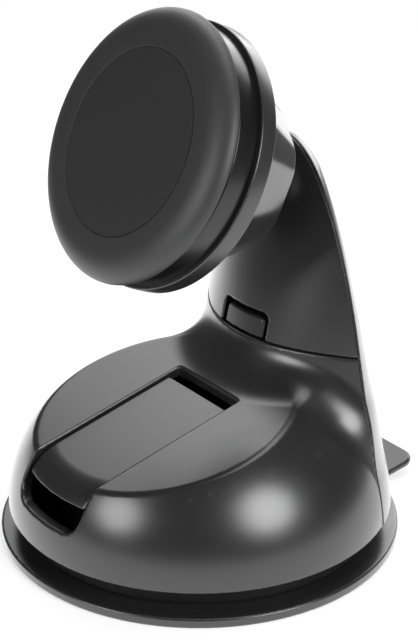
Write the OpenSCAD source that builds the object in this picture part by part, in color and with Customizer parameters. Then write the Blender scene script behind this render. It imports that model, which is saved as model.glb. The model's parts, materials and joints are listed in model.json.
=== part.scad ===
// Magnetic phone holder: a suction foot with a cam lever, a leaning arm and a round magnetic head on a ball joint.
// The origin is the centre of the cup's flat face. +Z is up and the front of the holder looks along -Y.

/* [Suction cup] */
// Outer radius of the suction cup
cup_r = 35; // [34.5:0.5:37]
// Thickness of the cup's rim at its edge
rim_t = 1.7; // [1.5:0.1:2.1]
// Rise of the flange from the rim's edge to its root
root_rise = 0.8; // [0.6:0.1:1]
// Radius of the flange's root
root_r = 26.5; // [25:0.5:27]
// Width of the flat ring that grips the surface
grip_w = 12; // [10:0.5:14]
// Height of the hollow under the crown with the lever shut
hollow_h = 4; // [3.6:0.1:4.4]
// Radius of the hollow's flat ceiling
hollow_r = 10; // [8:0.5:11]
// Thickness of the crown's skin
skin_t = 2.2; // [1.8:0.1:2.6]
// Radius of the cup's crown
crown_r = 12.5; // [12:0.5:13]
// Width of the pull tab
tab_w = 19.6; // [14:0.2:28]
// Length of the pull tab beyond the rim
tab_len = 8.6; // [6:0.1:12]
// Thickness of the pull tab
tab_t = 1.2; // [1:0.1:2]
// Corner radius of the pull tab
tab_corner = 3; // [2:0.5:6]
// Upward slant of the pull tab in degrees
tab_slant = 9; // [0:1:10]

/* [Lift mechanism] */
// Radius of the rigid plate in the crown
plate_r = 11; // [10:0.5:11.5]
// Thickness of the plate
plate_t = 2; // [1.6:0.1:2.4]
// Radius of the lift stem
stem_r = 3; // [2.6:0.1:3.2]
// Radius of the stem's cross pin
pin_r = 1.25; // [1:0.05:1.4]
// Wall of the stem's eye round its pin
eye_wall = 1.15; // [1:0.05:1.2]
// Height that the lever lifts the crown by
lift = 2.5; // [1.5:0.1:2.8]
// Length of the spring with the lever shut
spring_len = 4.2; // [4:0.1:4.6]
// Wire radius of the lift spring
wire_r = 0.45; // [0.35:0.05:0.5]
// Coil radius of the lift spring
coil_r = 6.4; // [5:0.2:8]
// Turns of the lift spring
coil_turns = 3; // [2:1:3]
// Reach of the cam from the pin to its track with the lever shut
cam_reach = 6; // [5.8:0.1:6.2]
// Opening angle of the lever in degrees
lever_open = 70; // [50:5:75]

/* [Base housing] */
// Gap between the rim's edge and the housing
edge_gap = 3.6; // [3.2:0.1:4]
// Radius of the dome at its foot
dome_r = 33.5; // [33:0.1:34]
// Height of the dome's full curve above its foot
dome_h = 27.2; // [26.5:0.1:28]
// Height of the sloping deck on the cup's axis
deck_z = 25.6; // [25.2:0.1:26]
// Slope of the deck in degrees
deck_slope = 14; // [12:0.5:15]
// Wall of the base housing
wall = 2; // [1.6:0.1:2.2]
// Width of the lever's slot
slot_w = 17.4; // [16:0.2:18]
// Distance of the slot's rear end behind the cup's axis
slot_back = 1.9; // [1.6:0.1:2.4]
// Height of the finger scoop's lower lip
scoop_z = 11; // [10.6:0.1:11]
// Corner radius of the finger scoop
scoop_corner = 3; // [2:0.5:4]
// Height of the seam between base and arm
seam_z = 34; // [33:0.5:35]
// Width of the dark line at the seam
seam_gap = 0.15; // [0.1:0.05:0.3]
// Distance of the parting plane behind the cup's axis
part_y = 17.7; // [17:0.1:18.4]
// Run of the fillet where the neck meets the deck
neck_run = 7; // [4:0.5:8]

/* [Base plate] */
// Thickness of the base plate
floor_t = 2; // [1.6:0.1:2.4]
// Wall of the spring tower
tower_wall = 1.6; // [1.4:0.1:2]
// Radius of the pressure lip's outer edge
lip_r = 31; // [29:0.5:31]
// Thickness of the pressure lip
lip_t = 2.4; // [2:0.1:3]
// Radius of the shank of a base screw
base_screw_r = 1.2; // [1:0.1:1.4]
// Length of a base screw's shank
base_screw_len = 8; // [6:0.5:10]

/* [Lever] */
// Gap at each side of the lever
lever_side_gap = 0.4; // [0.3:0.05:0.7]
// Depth of the lever's face below the deck
lever_recess = 0.6; // [0.5:0.1:1.2]
// Thickness of the lever's plate
lever_t = 2; // [1.6:0.1:2.2]
// Distance of the lever's rear edge in front of the cup's axis
lever_rear = 0.5; // [0:0.1:1.5]
// Height of the lower edge of the lever's nose
nose_z = 15.2; // [15.2:0.1:16]
// Thickness of each cam cheek
cheek_t = 2.4; // [2:0.1:2.8]

/* [Arm] */
// Half width of the arch that the arm's outline follows
arch_w = 26.8; // [26:0.1:27.5]
// Height of the arch from its springing line to its top
arch_h = 90; // [88:1:94]
// Height of the arm's top
arm_top = 68.3; // [67:0.1:70]
// Depth of the front shell at the seam
neck_d = 9.2; // [8.6:0.1:9.8]
// Backward lean of the front face in millimetres per millimetre of height
arm_lean = 0.23; // [0.21:0.01:0.24]
// Half width of the neck at the rim as a share of the dome's, in the parting plane
foot_share = 0.992; // [0.97:0.002:0.994]
// Depth of the rear cover at its foot
spine_d = 16.4; // [15.8:0.1:16.8]
// Loss of the rear cover's depth in millimetres per millimetre of height
spine_lean = 0.2; // [0.19:0.005:0.205]
// Wall of the arm's shells
arm_wall = 1.6; // [1.4:0.1:1.8]
// Thickness of the arm plate
arm_plate_t = 2.4; // [2:0.1:2.6]
// Radius of the shank of a cover screw
cover_screw_r = 1.2; // [1:0.1:1.4]
// Length of a cover screw's shank
cover_screw_len = 10; // [8:0.5:10]

/* [Release catch] */
// Width of the catch's window
window_w = 11.9; // [11:0.1:12.5]
// Height of the catch's window
window_h = 4.6; // [4.2:0.1:5]
// Gap round the catch in its window
window_gap = 0.9; // [0.6:0.1:1.2]
// Wire radius of the catch's spring
catch_wire_r = 0.2; // [0.15:0.05:0.25]
// Coil radius of the catch's spring
catch_coil_r = 1.6; // [1.2:0.1:1.8]

/* [Ball joint] */
// Radius of the ball
ball_r = 6.5; // [6:0.1:6.8]
// Distance of the ball's centre behind the head's face
ball_back = 19.5; // [19:0.1:20]
// Upward slant of the ball stud in degrees
stud_slant = 13; // [11:1:15]
// Radius of the stud's neck
neck_r = 3; // [2.6:0.1:3.2]
// Radius of the stud's flange
flange_r = 4.2; // [3.8:0.1:4.6]
// Thickness of the stud's flange
flange_t = 1.4; // [1:0.1:1.8]
// Radius of the stud's shank
shank_r = 2.4; // [2.2:0.1:2.6]
// Wall of the liner round the ball
liner_t = 1.75; // [1.5:0.05:1.9]
// Wall of the threaded collar
collar_t = 2.05; // [1.8:0.05:2.2]

/* [Ring nut] */
// Distance of the nut's rear edge behind the head's face
nut_back = 24.2; // [23.6:0.1:24.4]
// Radius of the nut at its front edge
nut_front_r = 19.1; // [18:0.1:19.5]
// Radius of the nut at its rear edge
nut_rear_r = 13.4; // [13:0.1:14.4]
// Radius of the nut's rear opening
nut_mouth_r = 6.5; // [6:0.1:6.8]
// Depth of the nut's flat facets at its rear edge
facet_d = 0.5; // [0.3:0.05:0.8]
// Number of the nut's facets
facets = 7; // [6:1:9]

/* [Head] */
// Distance of the face's centre in front of the cup's axis
head_y = 13.9; // [13.4:0.1:14.4]
// Height of the face's centre
head_z = 72.3; // [71.8:0.1:73]
// Upward slant of the head in degrees
head_slant = 25; // [23:1:27]
// Outer radius of the front pad
pad_r = 22.4; // [22:0.1:23]
// Depth of the pad's rounded edge
pad_round = 2.8; // [2:0.1:3.2]
// Distance of the pad's back behind the face
pad_back = 3.8; // [3.6:0.1:4]
// Radius of the smooth disc in the pad
disc_r = 15.2; // [14.5:0.1:16]
// Thickness of the smooth disc
disc_t = 1.15; // [0.9:0.05:1.3]
// Radius of the magnet case
case_r = 21.3; // [21:0.1:21.6]
// Distance of the case's back behind the face
case_back = 7.7; // [7.6:0.1:8]
// Floor of the magnet case
case_floor = 1.3; // [1.2:0.1:1.4]
// Radius of the head plate
back_r = 22.2; // [21.8:0.1:22.6]
// Distance of the head plate's back behind the face
back_back = 10.8; // [10.7:0.1:11]
// Radius of the magnets' tray
tray_r = 18.5; // [18:0.1:18.8]
// Thickness of the keeper plate
keeper_t = 0.8; // [0.6:0.1:0.9]
// Radius of a magnet
magnet_r = 3.4; // [3:0.1:3.6]
// Thickness of a magnet
magnet_t = 3; // [2.6:0.1:3]
// Radius of the ring that the magnets lie on
magnet_ring_r = 13; // [12.5:0.1:13.4]
// Number of magnets
magnet_count = 8; // [6:1:8]
// Radius of the shank of a head screw
head_screw_r = 1; // [0.8:0.1:1.1]

/* [Hidden] */
$fn = 96;

// Clearance of a turning or sliding fit, and of parts that lie against each other
fit = 0.05;
// Clearance between parts that pass each other
pass = 0.3;
// Overrun of a cut past the face that it opens
over = 1;
// Size of a block that cuts away all on one side of a plane
big = 200;

// Heights of the foot
root_t = rim_t + root_rise;
housing_z = rim_t + edge_gap;
floor_z = housing_z + floor_t;
plate_z = hollow_h + skin_t;
crown_lip = 1;
crown_drop = 0.5;
roof_z = plate_z + plate_t + spring_len;
roof_t = 1.6;
track_z = roof_z + roof_t;
pin_z = track_z + cam_reach;
tower_r = crown_r + pass + tower_wall;
eye_r = pin_r + eye_wall;

// Places of the screws under the base
post_r = 3;
post_x = 20.5;
post_front_y = 11;
post_rear_y = 9;
post_places = [[post_x, -post_front_y], [-post_x, -post_front_y], [post_x, post_rear_y], [-post_x, post_rear_y]];
head_share = 1.9;
head_t_share = 1.2;

// Forms of the housing: a dome, a sloping deck and a neck, all drawn in by t
deck_grade = tan(deck_slope);
dome_z = housing_z - pass;

// Number of columns and rows of the lofted forms
columns = 28;
flank_rows = 7;
deck_rows = 3;
fillet_rows = 5;
wall_rows = 2;
arm_rows = 9;
// Least run of the deck's stretch, so that no two rows meet
least_run = 0.8;
// Shares of the dome's spare width that the fillet may use at the side, and of the height below the seam
side_share = 0.6;
rise_share = 0.9;

function sq(v) = v * v;
function mix(a, b, u) = a + (b - a) * u;

// Distance from the parting plane's middle to the dome along azimuth a, at height z
function dome_reach(a, z, t) =
    let (r = (dome_r - t) * sqrt(1 - sq((z - dome_z) / (dome_h - t))))
    part_y * sin(a) + sqrt(sq(r) - sq(part_y * cos(a)));
// Height of the dome at distance s along azimuth a
function dome_height(a, s, t) =
    let (out = 1 - (sq(s) - 2 * s * part_y * sin(a) + sq(part_y)) / sq(dome_r - t))
    out > 0 ? dome_z + (dome_h - t) * sqrt(out) : -dome_h;
// Height of the deck there
function deck_height(a, s, t) = deck_z - t / cos(deck_slope) + deck_grade * (part_y - s * sin(a));
function top_height(a, s, t) = min(dome_height(a, s, t), deck_height(a, s, t));
// Half width of the dome in the parting plane
function side_reach(t) = sqrt(sq(dome_r - t) - sq(part_y));
// Half width and depth of the neck at height z, and its reach along azimuth a
function neck_w(z, t) =
    mix(arch_width(seam_z, t), foot_share * side_reach(t), (seam_z - z) / (seam_z - housing_z));
function neck_depth(z, t) = neck_d - t + arm_lean * (seam_z - z);
function neck_reach(a, z, t) =
    let (d = neck_depth(z, t))
    2 * d / (sin(a) + sqrt(sq(sin(a)) + 4 * sq(d * cos(a) / neck_w(z, t))));
// Half width of the arm's arch at height z
function arch_width(z, t) = (arch_w - t) * sqrt(1 - sq((arch_h - (arm_top - t - z)) / arch_h));

// Height at which the neck's wall meets the dome or the deck, found by halving
function foot_height(a, t, low, high, steps) =
    let (z = (low + high) / 2)
    steps == 0 ? z
    : top_height(a, neck_reach(a, z, t), t) > z ? foot_height(a, t, z, high, steps - 1)
    : foot_height(a, t, low, z, steps - 1);
halvings = 24;
// Distance at which the dome meets the deck, found by halving
function crease_reach(a, t, low, high, steps) =
    let (s = (low + high) / 2)
    steps == 0 ? s
    : dome_height(a, s, t) > deck_height(a, s, t) ? crease_reach(a, t, s, high, steps - 1)
    : crease_reach(a, t, low, s, steps - 1);

// Points [distance, height] of the housing's outline along azimuth a, from the rim to the seam
function housing_column(a, t) =
    let (
        rim_s = dome_reach(a, housing_z, t),
        foot_z = foot_height(a, t, housing_z, seam_z, halvings),
        foot_s = neck_reach(a, foot_z, t),
        run = min(neck_run, side_share * (rim_s - foot_s)),
        fillet_s = foot_s + run,
        crease = crease_reach(a, t, fillet_s, rim_s, halvings),
        crease_s = max(crease, fillet_s + least_run * min(1, run / least_run / 2)),
        crease_z = top_height(a, crease_s, t),
        turn = asin((crease_z - dome_z) / (dome_h - t)),
        start = asin((housing_z - dome_z) / (dome_h - t)),
        rise_z = foot_z + min(run, rise_share * (seam_z - foot_z)),
        foot = [foot_s, foot_z],
        low = [fillet_s, top_height(a, fillet_s, t)],
        high = [neck_reach(a, rise_z, t), rise_z]
    )
    concat(
        [for (i = [0:flank_rows - 1])
            let (z = dome_z + (dome_h - t) * sin(mix(start, turn, i / flank_rows)))
            [dome_reach(a, z, t), z]],
        [for (i = [0:deck_rows - 1])
            let (s = mix(crease_s, fillet_s, i / deck_rows))
            [s, top_height(a, s, t)]],
        [for (i = [0:fillet_rows])
            let (u = i / fillet_rows)
            sq(1 - u) * low + 2 * u * (1 - u) * foot + sq(u) * high],
        [for (i = [1:wall_rows])
            let (z = mix(rise_z, seam_z, i / wall_rows))
            [neck_reach(a, z, t), z]]
    );

// Closed solid from a grid of points: columns of equal length whose ends and sides lie in planes
module grid_solid(grid) {
    n = len(grid);
    m = len(grid[0]);
    points = [for (column = grid, p = column) p];
    sides = [for (i = [0:n - 2], j = [0:m - 2])
        let (a = i * m + j, b = a + m)
        each [[a, b, b + 1], [a, b + 1, a + 1]]];
    low = [for (i = [0:n - 1]) (n - 1 - i) * m];
    high = [for (i = [0:n - 1]) i * m + m - 1];
    back = concat([for (j = [0:m - 1]) j], [for (j = [0:m - 1]) n * m - 1 - j]);
    polyhedron(points = points, faces = concat(sides, [low, high, back]), convexity = 6);
}

// Outer form of the base in front of the parting plane, drawn in by t and run past its open faces by e
module housing_form(t, e) {
    angles = [for (i = [0:columns]) 180 * i / columns];
    grid = [for (a = angles) [for (p = housing_column(a, t))
        [p[0] * cos(a), part_y - p[0] * sin(a), p[1]]]];
    stretched = e == 0 ? grid : concat(
        [[for (p = grid[0]) [p[0], p[1] + e, p[2]]]],
        grid,
        [[for (p = grid[columns]) [p[0], p[1] + e, p[2]]]]);
    grid_solid(e == 0 ? grid : [for (column = stretched) concat(
        [column[0] - [0, 0, e]],
        column,
        [column[len(column) - 1] + [0, 0, e]])]);
}

// Heights of the arm's rows, closer together towards the top
top_cap = 0.15;
function arm_levels(t) = [for (i = [0:arm_rows])
    arm_top - t - top_cap - (arm_top - t - top_cap - seam_z) * sq(1 - i / arm_rows)];
function arm_depth(z, t) = min(neck_d - t - arm_lean * (z - seam_z), arch_width(z, t));

// Form of the arm in front of the parting plane, from the seam up
arc_columns = 16;
module arm_form(t, e) {
    levels = e == 0 ? arm_levels(t) : concat([seam_z - e], arm_levels(t));
    shares = [for (i = [0:arc_columns]) 1 - 2 * i / arc_columns];
    grid = [for (u = shares) [for (z = levels)
        [arch_width(z, t) * u, part_y - arm_depth(z, t) * (1 - sq(u)), z]]];
    grid_solid(e == 0 ? grid : concat(
        [[for (p = grid[0]) p + [0, e, 0]]],
        grid,
        [[for (p = grid[arc_columns]) p + [0, e, 0]]]));
}

// Form of the spine behind the parting plane, from the foot to the arm's top: each level is one arc
// Share of the arch's half width that the cover's depth keeps to, so that its top is rounded
crest_share = 0.55;
function spine_depth(z, w, t) = min(spine_d - t - spine_lean * (z - housing_z), crest_share * w);
module spine_form(t, e) {
    sides = concat(
        [for (p = housing_column(0, t)) if (p[1] < seam_z - least_run) p],
        [for (z = arm_levels(t)) [arch_width(z, t), z]]);
    rows = e == 0 ? sides : concat([sides[0] - [0, e]], sides);
    grid = [for (i = [0:arc_columns]) [for (p = rows)
        let (
            depth = spine_depth(max(p[1], housing_z), p[0], t),
            bow = (sq(p[0]) + sq(depth)) / (2 * depth),
            span = acos((bow - depth) / bow),
            turn = mix(-span, span, i / arc_columns)
        )
        [bow * sin(turn), part_y + depth - bow + bow * cos(turn), p[1]]]];
    grid_solid(e == 0 ? grid : concat(
        [[for (p = grid[0]) p - [0, e, 0]]],
        grid,
        [[for (p = grid[arc_columns]) p - [0, e, 0]]]));
}

// Solid of revolution of the dome, drawn in by t, and the space under the deck lowered by t
dome_steps = 18;
module dome_turned(t) {
    rotate_extrude()
        polygon(concat([[0, 0], [dome_r - t, 0]], [for (i = [0:dome_steps])
            [(dome_r - t) * cos(90 * i / dome_steps), dome_z + (dome_h - t) * sin(90 * i / dome_steps)]]));
}
module under_deck(t) {
    translate([0, 0, deck_z])
        rotate([deck_slope, 0, 0])
            translate([-big / 2, -big / 2, -big - t])
                cube(big);
}

// Outline of the slot seen from the front, drawn in by t: straight sides and a rounded lower end
module slot_outline(t, low) {
    half = slot_w / 2 - t;
    translate([-half, low + scoop_corner])
        square([2 * half, big]);
    translate([-half + scoop_corner, low])
        square([2 * (half - scoop_corner), big]);
    for (side = [-1, 1])
        translate([side * (half - scoop_corner), low + scoop_corner])
            circle(scoop_corner);
}

// Helical wire round the Z axis from height low to high
ring_sides = 6;
turn_steps = 14;
module coil(radius, wire, turns, low, high) {
    steps = turns * turn_steps;
    rings = [for (i = [0:steps])
        let (a = 360 * i / turn_steps, z = mix(low + wire, high - wire, i / steps))
        [for (k = [0:ring_sides - 1])
            let (b = 360 * k / ring_sides, r = radius + wire * cos(b))
            [r * cos(a), r * sin(a), z + wire * sin(b)]]];
    points = [for (ring = rings, p = ring) p];
    sides = [for (i = [0:steps - 1], k = [0:ring_sides - 1])
        let (a = i * ring_sides + k, b = i * ring_sides + (k + 1) % ring_sides)
        each [[a, b + ring_sides, b], [a, a + ring_sides, b + ring_sides]]];
    polyhedron(
        points = points,
        faces = concat(sides, [[for (k = [0:ring_sides - 1]) k],
            [for (k = [0:ring_sides - 1]) steps * ring_sides + ring_sides - 1 - k]]),
        convexity = 10);
}

// Screw along -Z whose head lies above the origin
module screw(r, len) {
    cylinder(r = r * head_share, h = r * head_t_share);
    translate([0, 0, -len])
        cylinder(r = r, h = len + r * head_t_share / 2);
}

// Frames of the head and of the ball stud: +Z points out of the face, and out of the arm
module at_head() {
    translate([0, -head_y, head_z])
        rotate([90 - head_slant, 0, 0])
            children();
}
ball_y = -head_y + ball_back * cos(head_slant);
ball_z = head_z - ball_back * sin(head_slant);
module at_ball() {
    translate([0, ball_y, ball_z])
        rotate([90 - stud_slant, 0, 0])
            children();
}
// Distance from the ball's centre to the arm's face, along the stud
face_y = part_y - neck_d + arm_lean * (ball_z - seam_z);
face_run = (face_y - ball_y) / (cos(stud_slant) + arm_lean * sin(stud_slant));
seat_rise = 0.7;
seat_run = face_run - seat_rise;
// Depth of the stud's joint behind the seat, to the screw's head
grip_run = (part_y + arm_plate_t / 2 - ball_y) / cos(stud_slant);

/* Foot */
module suction_cup() color("#2b2b2d") {
    rotate_extrude()
        polygon([[cup_r - grip_w, 0], [cup_r, 0], [cup_r, rim_t], [root_r, root_t],
            [crown_r, housing_z - crown_drop], [crown_r, plate_z + crown_lip],
            [plate_r + fit, plate_z + crown_lip], [plate_r + fit, plate_z], [0, plate_z], [0, hollow_h],
            [hollow_r, hollow_h]]);
    root = tab_corner;
    translate([0, cup_r - root, 0])
        rotate([tab_slant, 0, 0])
            linear_extrude(tab_t)
                tab_outline(root + tab_len);
}
module tab_outline(length) {
    translate([-tab_w / 2, 0])
        square([tab_w, length - tab_corner]);
    translate([-tab_w / 2 + tab_corner, 0])
        square([tab_w - 2 * tab_corner, length]);
    for (side = [-1, 1])
        translate([side * (tab_w / 2 - tab_corner), length - tab_corner])
            circle(tab_corner);
}

module cup_plate() color("#4a4a4c") {
    translate([0, 0, plate_z])
        difference() {
            cylinder(r = plate_r, h = plate_t);
            translate([0, 0, -over])
                cylinder(r = stem_r + fit, h = plate_t + 2 * over);
        }
}

module cup_stem() color("#9a9a9c") {
    difference() {
        union() {
            translate([0, 0, plate_z])
                cylinder(r = stem_r, h = pin_z - plate_z);
            intersection() {
                translate([0, 0, plate_z])
                    cylinder(r = stem_r, h = big);
                translate([-big / 2, 0, pin_z])
                    rotate([0, 90, 0])
                        cylinder(r = eye_r, h = big);
            }
        }
        translate([-big / 2, 0, pin_z])
            rotate([0, 90, 0])
                cylinder(r = pin_r + fit / 2, h = big);
    }
}

cheek_x = stem_r + pass;
module stem_pin() color("#c8c8ca") {
    length = 2 * (cheek_x + cheek_t + pass);
    translate([-length / 2, 0, pin_z])
        rotate([0, 90, 0])
            cylinder(r = pin_r, h = length);
}

module lift_spring() color("#b4b4b6")
    coil(coil_r, wire_r, coil_turns, plate_z + plate_t + fit, roof_z - fit);

module base_plate() color("#1e1e20") {
    rim_r = dome_r - wall - pass;
    lip_in = lip_r - lip_t;
    lip_z = root_t - root_rise * (lip_in - root_r) / (cup_r - root_r) + fit;
    difference() {
        rotate_extrude()
            polygon([[tower_r - tower_wall, housing_z], [lip_in, housing_z], [lip_in, lip_z], [lip_r, lip_z],
                [lip_r, housing_z], [rim_r, housing_z], [rim_r, floor_z], [tower_r, floor_z],
                [tower_r, track_z], [stem_r + fit, track_z], [stem_r + fit, roof_z],
                [tower_r - tower_wall, roof_z]]);
        for (p = post_places)
            translate([p[0], p[1], 0])
                cylinder(r = base_screw_r + fit, h = floor_z + over);
        for (p = post_places)
            translate([p[0], p[1], 0])
                cylinder(r = base_screw_r * head_share + fit, h = housing_z + floor_t / 2);
    }
}

module base_screws() color("#8c8c8e")
    for (p = post_places)
        translate([p[0], p[1], housing_z + floor_t / 2])
            mirror([0, 0, 1])
                screw(base_screw_r, base_screw_len);

// Places of the cover screws in the parting plane, the first two in the base and the last in the arm
cover_boss_r = 3;
cover_x = 13;
cover_low_z = 28;
cover_high_z = 48;
low_places = [[cover_x, cover_low_z], [-cover_x, cover_low_z]];
high_places = [[0, cover_high_z]];
// Distance of the cover screws' heads behind the parting plane
cover_head = arm_plate_t + cover_boss_r;

module along_rear(p) {
    translate([p[0], part_y, p[1]])
        rotate([-90, 0, 0])
            children();
}

module base_housing() color("#333335") {
    pilot_depth = cover_screw_len - cover_head + over / 2;
    difference() {
        union() {
            difference() {
                housing_form(0, 0);
                housing_form(wall, over);
            }
            intersection() {
                housing_form(wall / 2, 0);
                union() {
                    for (p = post_places)
                        translate([p[0], p[1], floor_z])
                            cylinder(r = post_r, h = big);
                    for (p = low_places)
                        along_rear(p)
                            translate([0, 0, -big])
                                cylinder(r = cover_boss_r, h = big);
                }
            }
        }
        translate([0, slot_back, 0])
            rotate([90, 0, 0])
                linear_extrude(big)
                    slot_outline(0, scoop_z);
        for (p = post_places)
            translate([p[0], p[1], 0])
                cylinder(r = base_screw_r + fit, h = housing_z + floor_t / 2 + base_screw_len + over / 2);
        for (p = low_places)
            along_rear(p)
                translate([0, 0, -pilot_depth])
                    cylinder(r = cover_screw_r + fit, h = pilot_depth + over);
        translate([-big / 2, -big / 2, seam_z - seam_gap])
            cube(big);
    }
}

/* Lever */
module lever_space(t) {
    intersection() {
        dome_turned(t);
        under_deck(t);
    }
}
// Reach of the cam in its direction a, and the point of its outline there: it shortens evenly as the lever opens
function cam_length(a) = cam_reach - fit - lift * a / lever_open;
cam_fall = lift / (lever_open * PI / 180);
function cam_point(a) = cam_length(a) * [sin(a), -cos(a)] - cam_fall * [cos(a), sin(a)];
cam_steps = 10;
rib_h = 4.5;
rib_t = 1.5;
rib_front = 22;
// Reach of the cheeks behind the pin against its radius, and in front of it against the cam's reach
heel_share = 2;
toe_share = 1.2;
module lock_lever() color("#3a3a3c") {
    half = slot_w / 2 - lever_side_gap;
    top_at_pin = (deck_z - pin_z - lever_recess - lever_t / 2);
    heel = pin_r * heel_share;
    toe = cam_reach * toe_share;
    difference() {
        union() {
            difference() {
                intersection() {
                    lever_space(lever_recess);
                    translate([-half, -big - lever_rear, nose_z])
                        cube([2 * half, big, big]);
                }
                lever_space(lever_recess + lever_t);
            }
            difference() {
                intersection() {
                    lever_space(lever_recess + lever_t / 2);
                    for (side = [-1, 1])
                        translate([side * (half - rib_t / 2) - rib_t / 2, -rib_front, 0])
                            cube([rib_t, rib_front - lever_rear, big]);
                }
                under_deck(lever_recess + rib_h);
            }
            for (side = [-1, 1])
                translate([side * (cheek_x + cheek_t / 2) - cheek_t / 2, 0, pin_z])
                    rotate([90, 0, 90])
                        linear_extrude(cheek_t)
                            polygon(concat(
                                [for (i = [0:cam_steps]) cam_point(lever_open * i / cam_steps)],
                                [[heel, 0], [heel, pin_r], [-lever_rear, top_at_pin],
                                    [-toe, top_at_pin - toe * deck_grade],
                                    [-cam_reach, -pin_r]]));
        }
        translate([-big / 2, 0, pin_z])
            rotate([0, 90, 0])
                cylinder(r = pin_r + fit, h = big);
        translate([-cheek_x, 0, pin_z])
            rotate([0, 90, 0])
                cylinder(r = eye_r + pass, h = 2 * cheek_x);
    }
}

/* Arm */
plate_inset = 5.6;
plate_low = 12;
plate_steps = 8;
plate_top_w = 3;
plate_high = arm_top - plate_inset;
function plate_half(z) = (z < seam_z ? neck_w(z, 0) : arch_width(z, 0)) - plate_inset;
module arm_plate() color("#6e6e70") {
    levels = [for (i = [0:plate_steps]) mix(plate_low, plate_high, i / plate_steps)];
    boss_r = flange_r + fit;
    difference() {
        union() {
            translate([0, part_y + arm_plate_t + fit, 0])
                rotate([90, 0, 0])
                    linear_extrude(arm_plate_t)
                        polygon(concat(
                            [for (z = levels) [max(plate_half(z), plate_top_w), z]],
                            [for (i = [plate_steps:-1:0]) [-max(plate_half(levels[i]), plate_top_w), levels[i]]]));
            at_ball()
                translate([0, 0, -grip_run])
                    cylinder(r = boss_r, h = grip_run - face_run - arm_wall - seat_rise);
        }
        at_ball() {
            translate([0, 0, -grip_run - over])
                cylinder(r = shank_r + fit, h = grip_run);
            translate([0, 0, -grip_run - big])
                cylinder(r = boss_r, h = big);
        }
        for (p = concat(low_places, high_places))
            along_rear(p)
                translate([0, 0, -over])
                    cylinder(r = cover_screw_r + fit, h = arm_plate_t + 2 * over);
    }
}

// Outline of the catch's window, drawn in by t, open at the seam
window_corner = 1;
module window_outline(t) {
    half = window_w / 2 - t;
    translate([-half, seam_z - over])
        square([2 * half, window_h - t - window_corner + over]);
    translate([-half + window_corner, seam_z - over])
        square([2 * (half - window_corner), window_h - t + over]);
    for (side = [-1, 1])
        translate([side * (half - window_corner), seam_z + window_h - t - window_corner])
            circle(window_corner);
}

module arm_front() color("#333335") {
    pilot_depth = cover_screw_len - cover_head + over / 2;
    difference() {
        union() {
            difference() {
                arm_form(0, 0);
                arm_form(arm_wall, over);
            }
            intersection() {
                arm_form(arm_wall / 2, 0);
                for (p = high_places)
                    along_rear(p)
                        translate([0, 0, -big])
                            cylinder(r = cover_boss_r, h = big);
            }
            at_ball()
                translate([0, 0, -face_run - arm_wall])
                    cylinder(r = flange_r, h = arm_wall + seat_rise);
        }
        translate([0, part_y - over, 0])
            rotate([90, 0, 0])
                linear_extrude(big)
                    window_outline(0);
        at_ball()
            translate([0, 0, -big])
                cylinder(r = shank_r + fit, h = big);
        for (p = high_places)
            along_rear(p)
                translate([0, 0, -pilot_depth])
                    cylinder(r = cover_screw_r + fit, h = pilot_depth + over);
    }
}

module rear_cover() color("#38383a") {
    places = concat(low_places, high_places);
    difference() {
        union() {
            difference() {
                spine_form(0, 0);
                spine_form(arm_wall, over);
            }
            intersection() {
                spine_form(arm_wall / 2, 0);
                for (p = places)
                    along_rear(p)
                        translate([0, 0, arm_plate_t + 2 * fit])
                            cylinder(r = cover_boss_r + arm_wall, h = big);
            }
        }
        for (p = places)
            along_rear(p) {
                cylinder(r = cover_screw_r + fit, h = big);
                translate([0, 0, cover_head])
                    cylinder(r = cover_boss_r, h = big);
            }
    }
}

module cover_screws() color("#8c8c8e")
    for (p = concat(low_places, high_places))
        along_rear(p)
            translate([0, 0, cover_head + fit])
                screw(cover_screw_r, cover_screw_len);

/* Catch */
catch_flange = 0.9;
catch_flange_t = 1;
catch_turns = 2;
// Inner face of the arm's shell at the side of the flange, where it lies furthest back
catch_half = window_w / 2 + catch_flange;
catch_high = seam_z + window_h + catch_flange;
catch_seat = part_y - arm_depth(catch_high, arm_wall) * (1 - sq(catch_half / arch_width(catch_high, arm_wall)));
catch_back = catch_seat + catch_flange_t + fit;
catch_mid = seam_z + (window_h - window_gap + pass) / 2;
module release_catch() color("#242426") {
    difference() {
        union() {
            intersection() {
                arm_form(pass, 0);
                translate([0, catch_back, 0])
                    rotate([90, 0, 0])
                        linear_extrude(big)
                            window_outline(window_gap);
            }
            translate([-catch_half, catch_back - catch_flange_t, seam_z])
                cube([2 * catch_half, catch_flange_t, catch_high - seam_z]);
        }
        translate([-big / 2, -big / 2, seam_z - big + pass])
            cube(big);
    }
}

module catch_spring() color("#b4b4b6")
    translate([0, catch_back + fit, catch_mid])
        rotate([-90, 0, 0])
            coil(catch_coil_r, catch_wire_r, catch_turns, 0, part_y - catch_back - fit);

/* Ball joint */
module ball_stud() color("#8e8e90")
    at_ball()
        difference() {
            union() {
                sphere(ball_r);
                translate([0, 0, -seat_run])
                    cylinder(r = neck_r, h = seat_run);
                translate([0, 0, -seat_run + fit])
                    cylinder(r = flange_r, h = flange_t);
                translate([0, 0, -grip_run + fit])
                    cylinder(r = shank_r, h = grip_run - seat_run + flange_t);
            }
            translate([0, 0, -grip_run - over])
                cylinder(r = stud_screw_r + fit / 2, h = stud_screw_len + 2 * over);
        }

stud_screw_r = 1.2;
stud_screw_len = 5;
stud_head_t = 1.1;
module stud_screw() color("#b4b4b6")
    at_ball()
        translate([0, 0, -grip_run])
            mirror([0, 0, 1]) {
                cylinder(r = shank_r + flange_t / 2, h = stud_head_t);
                translate([0, 0, -stud_screw_len])
                    cylinder(r = stud_screw_r, h = stud_screw_len + fit);
            }

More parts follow.
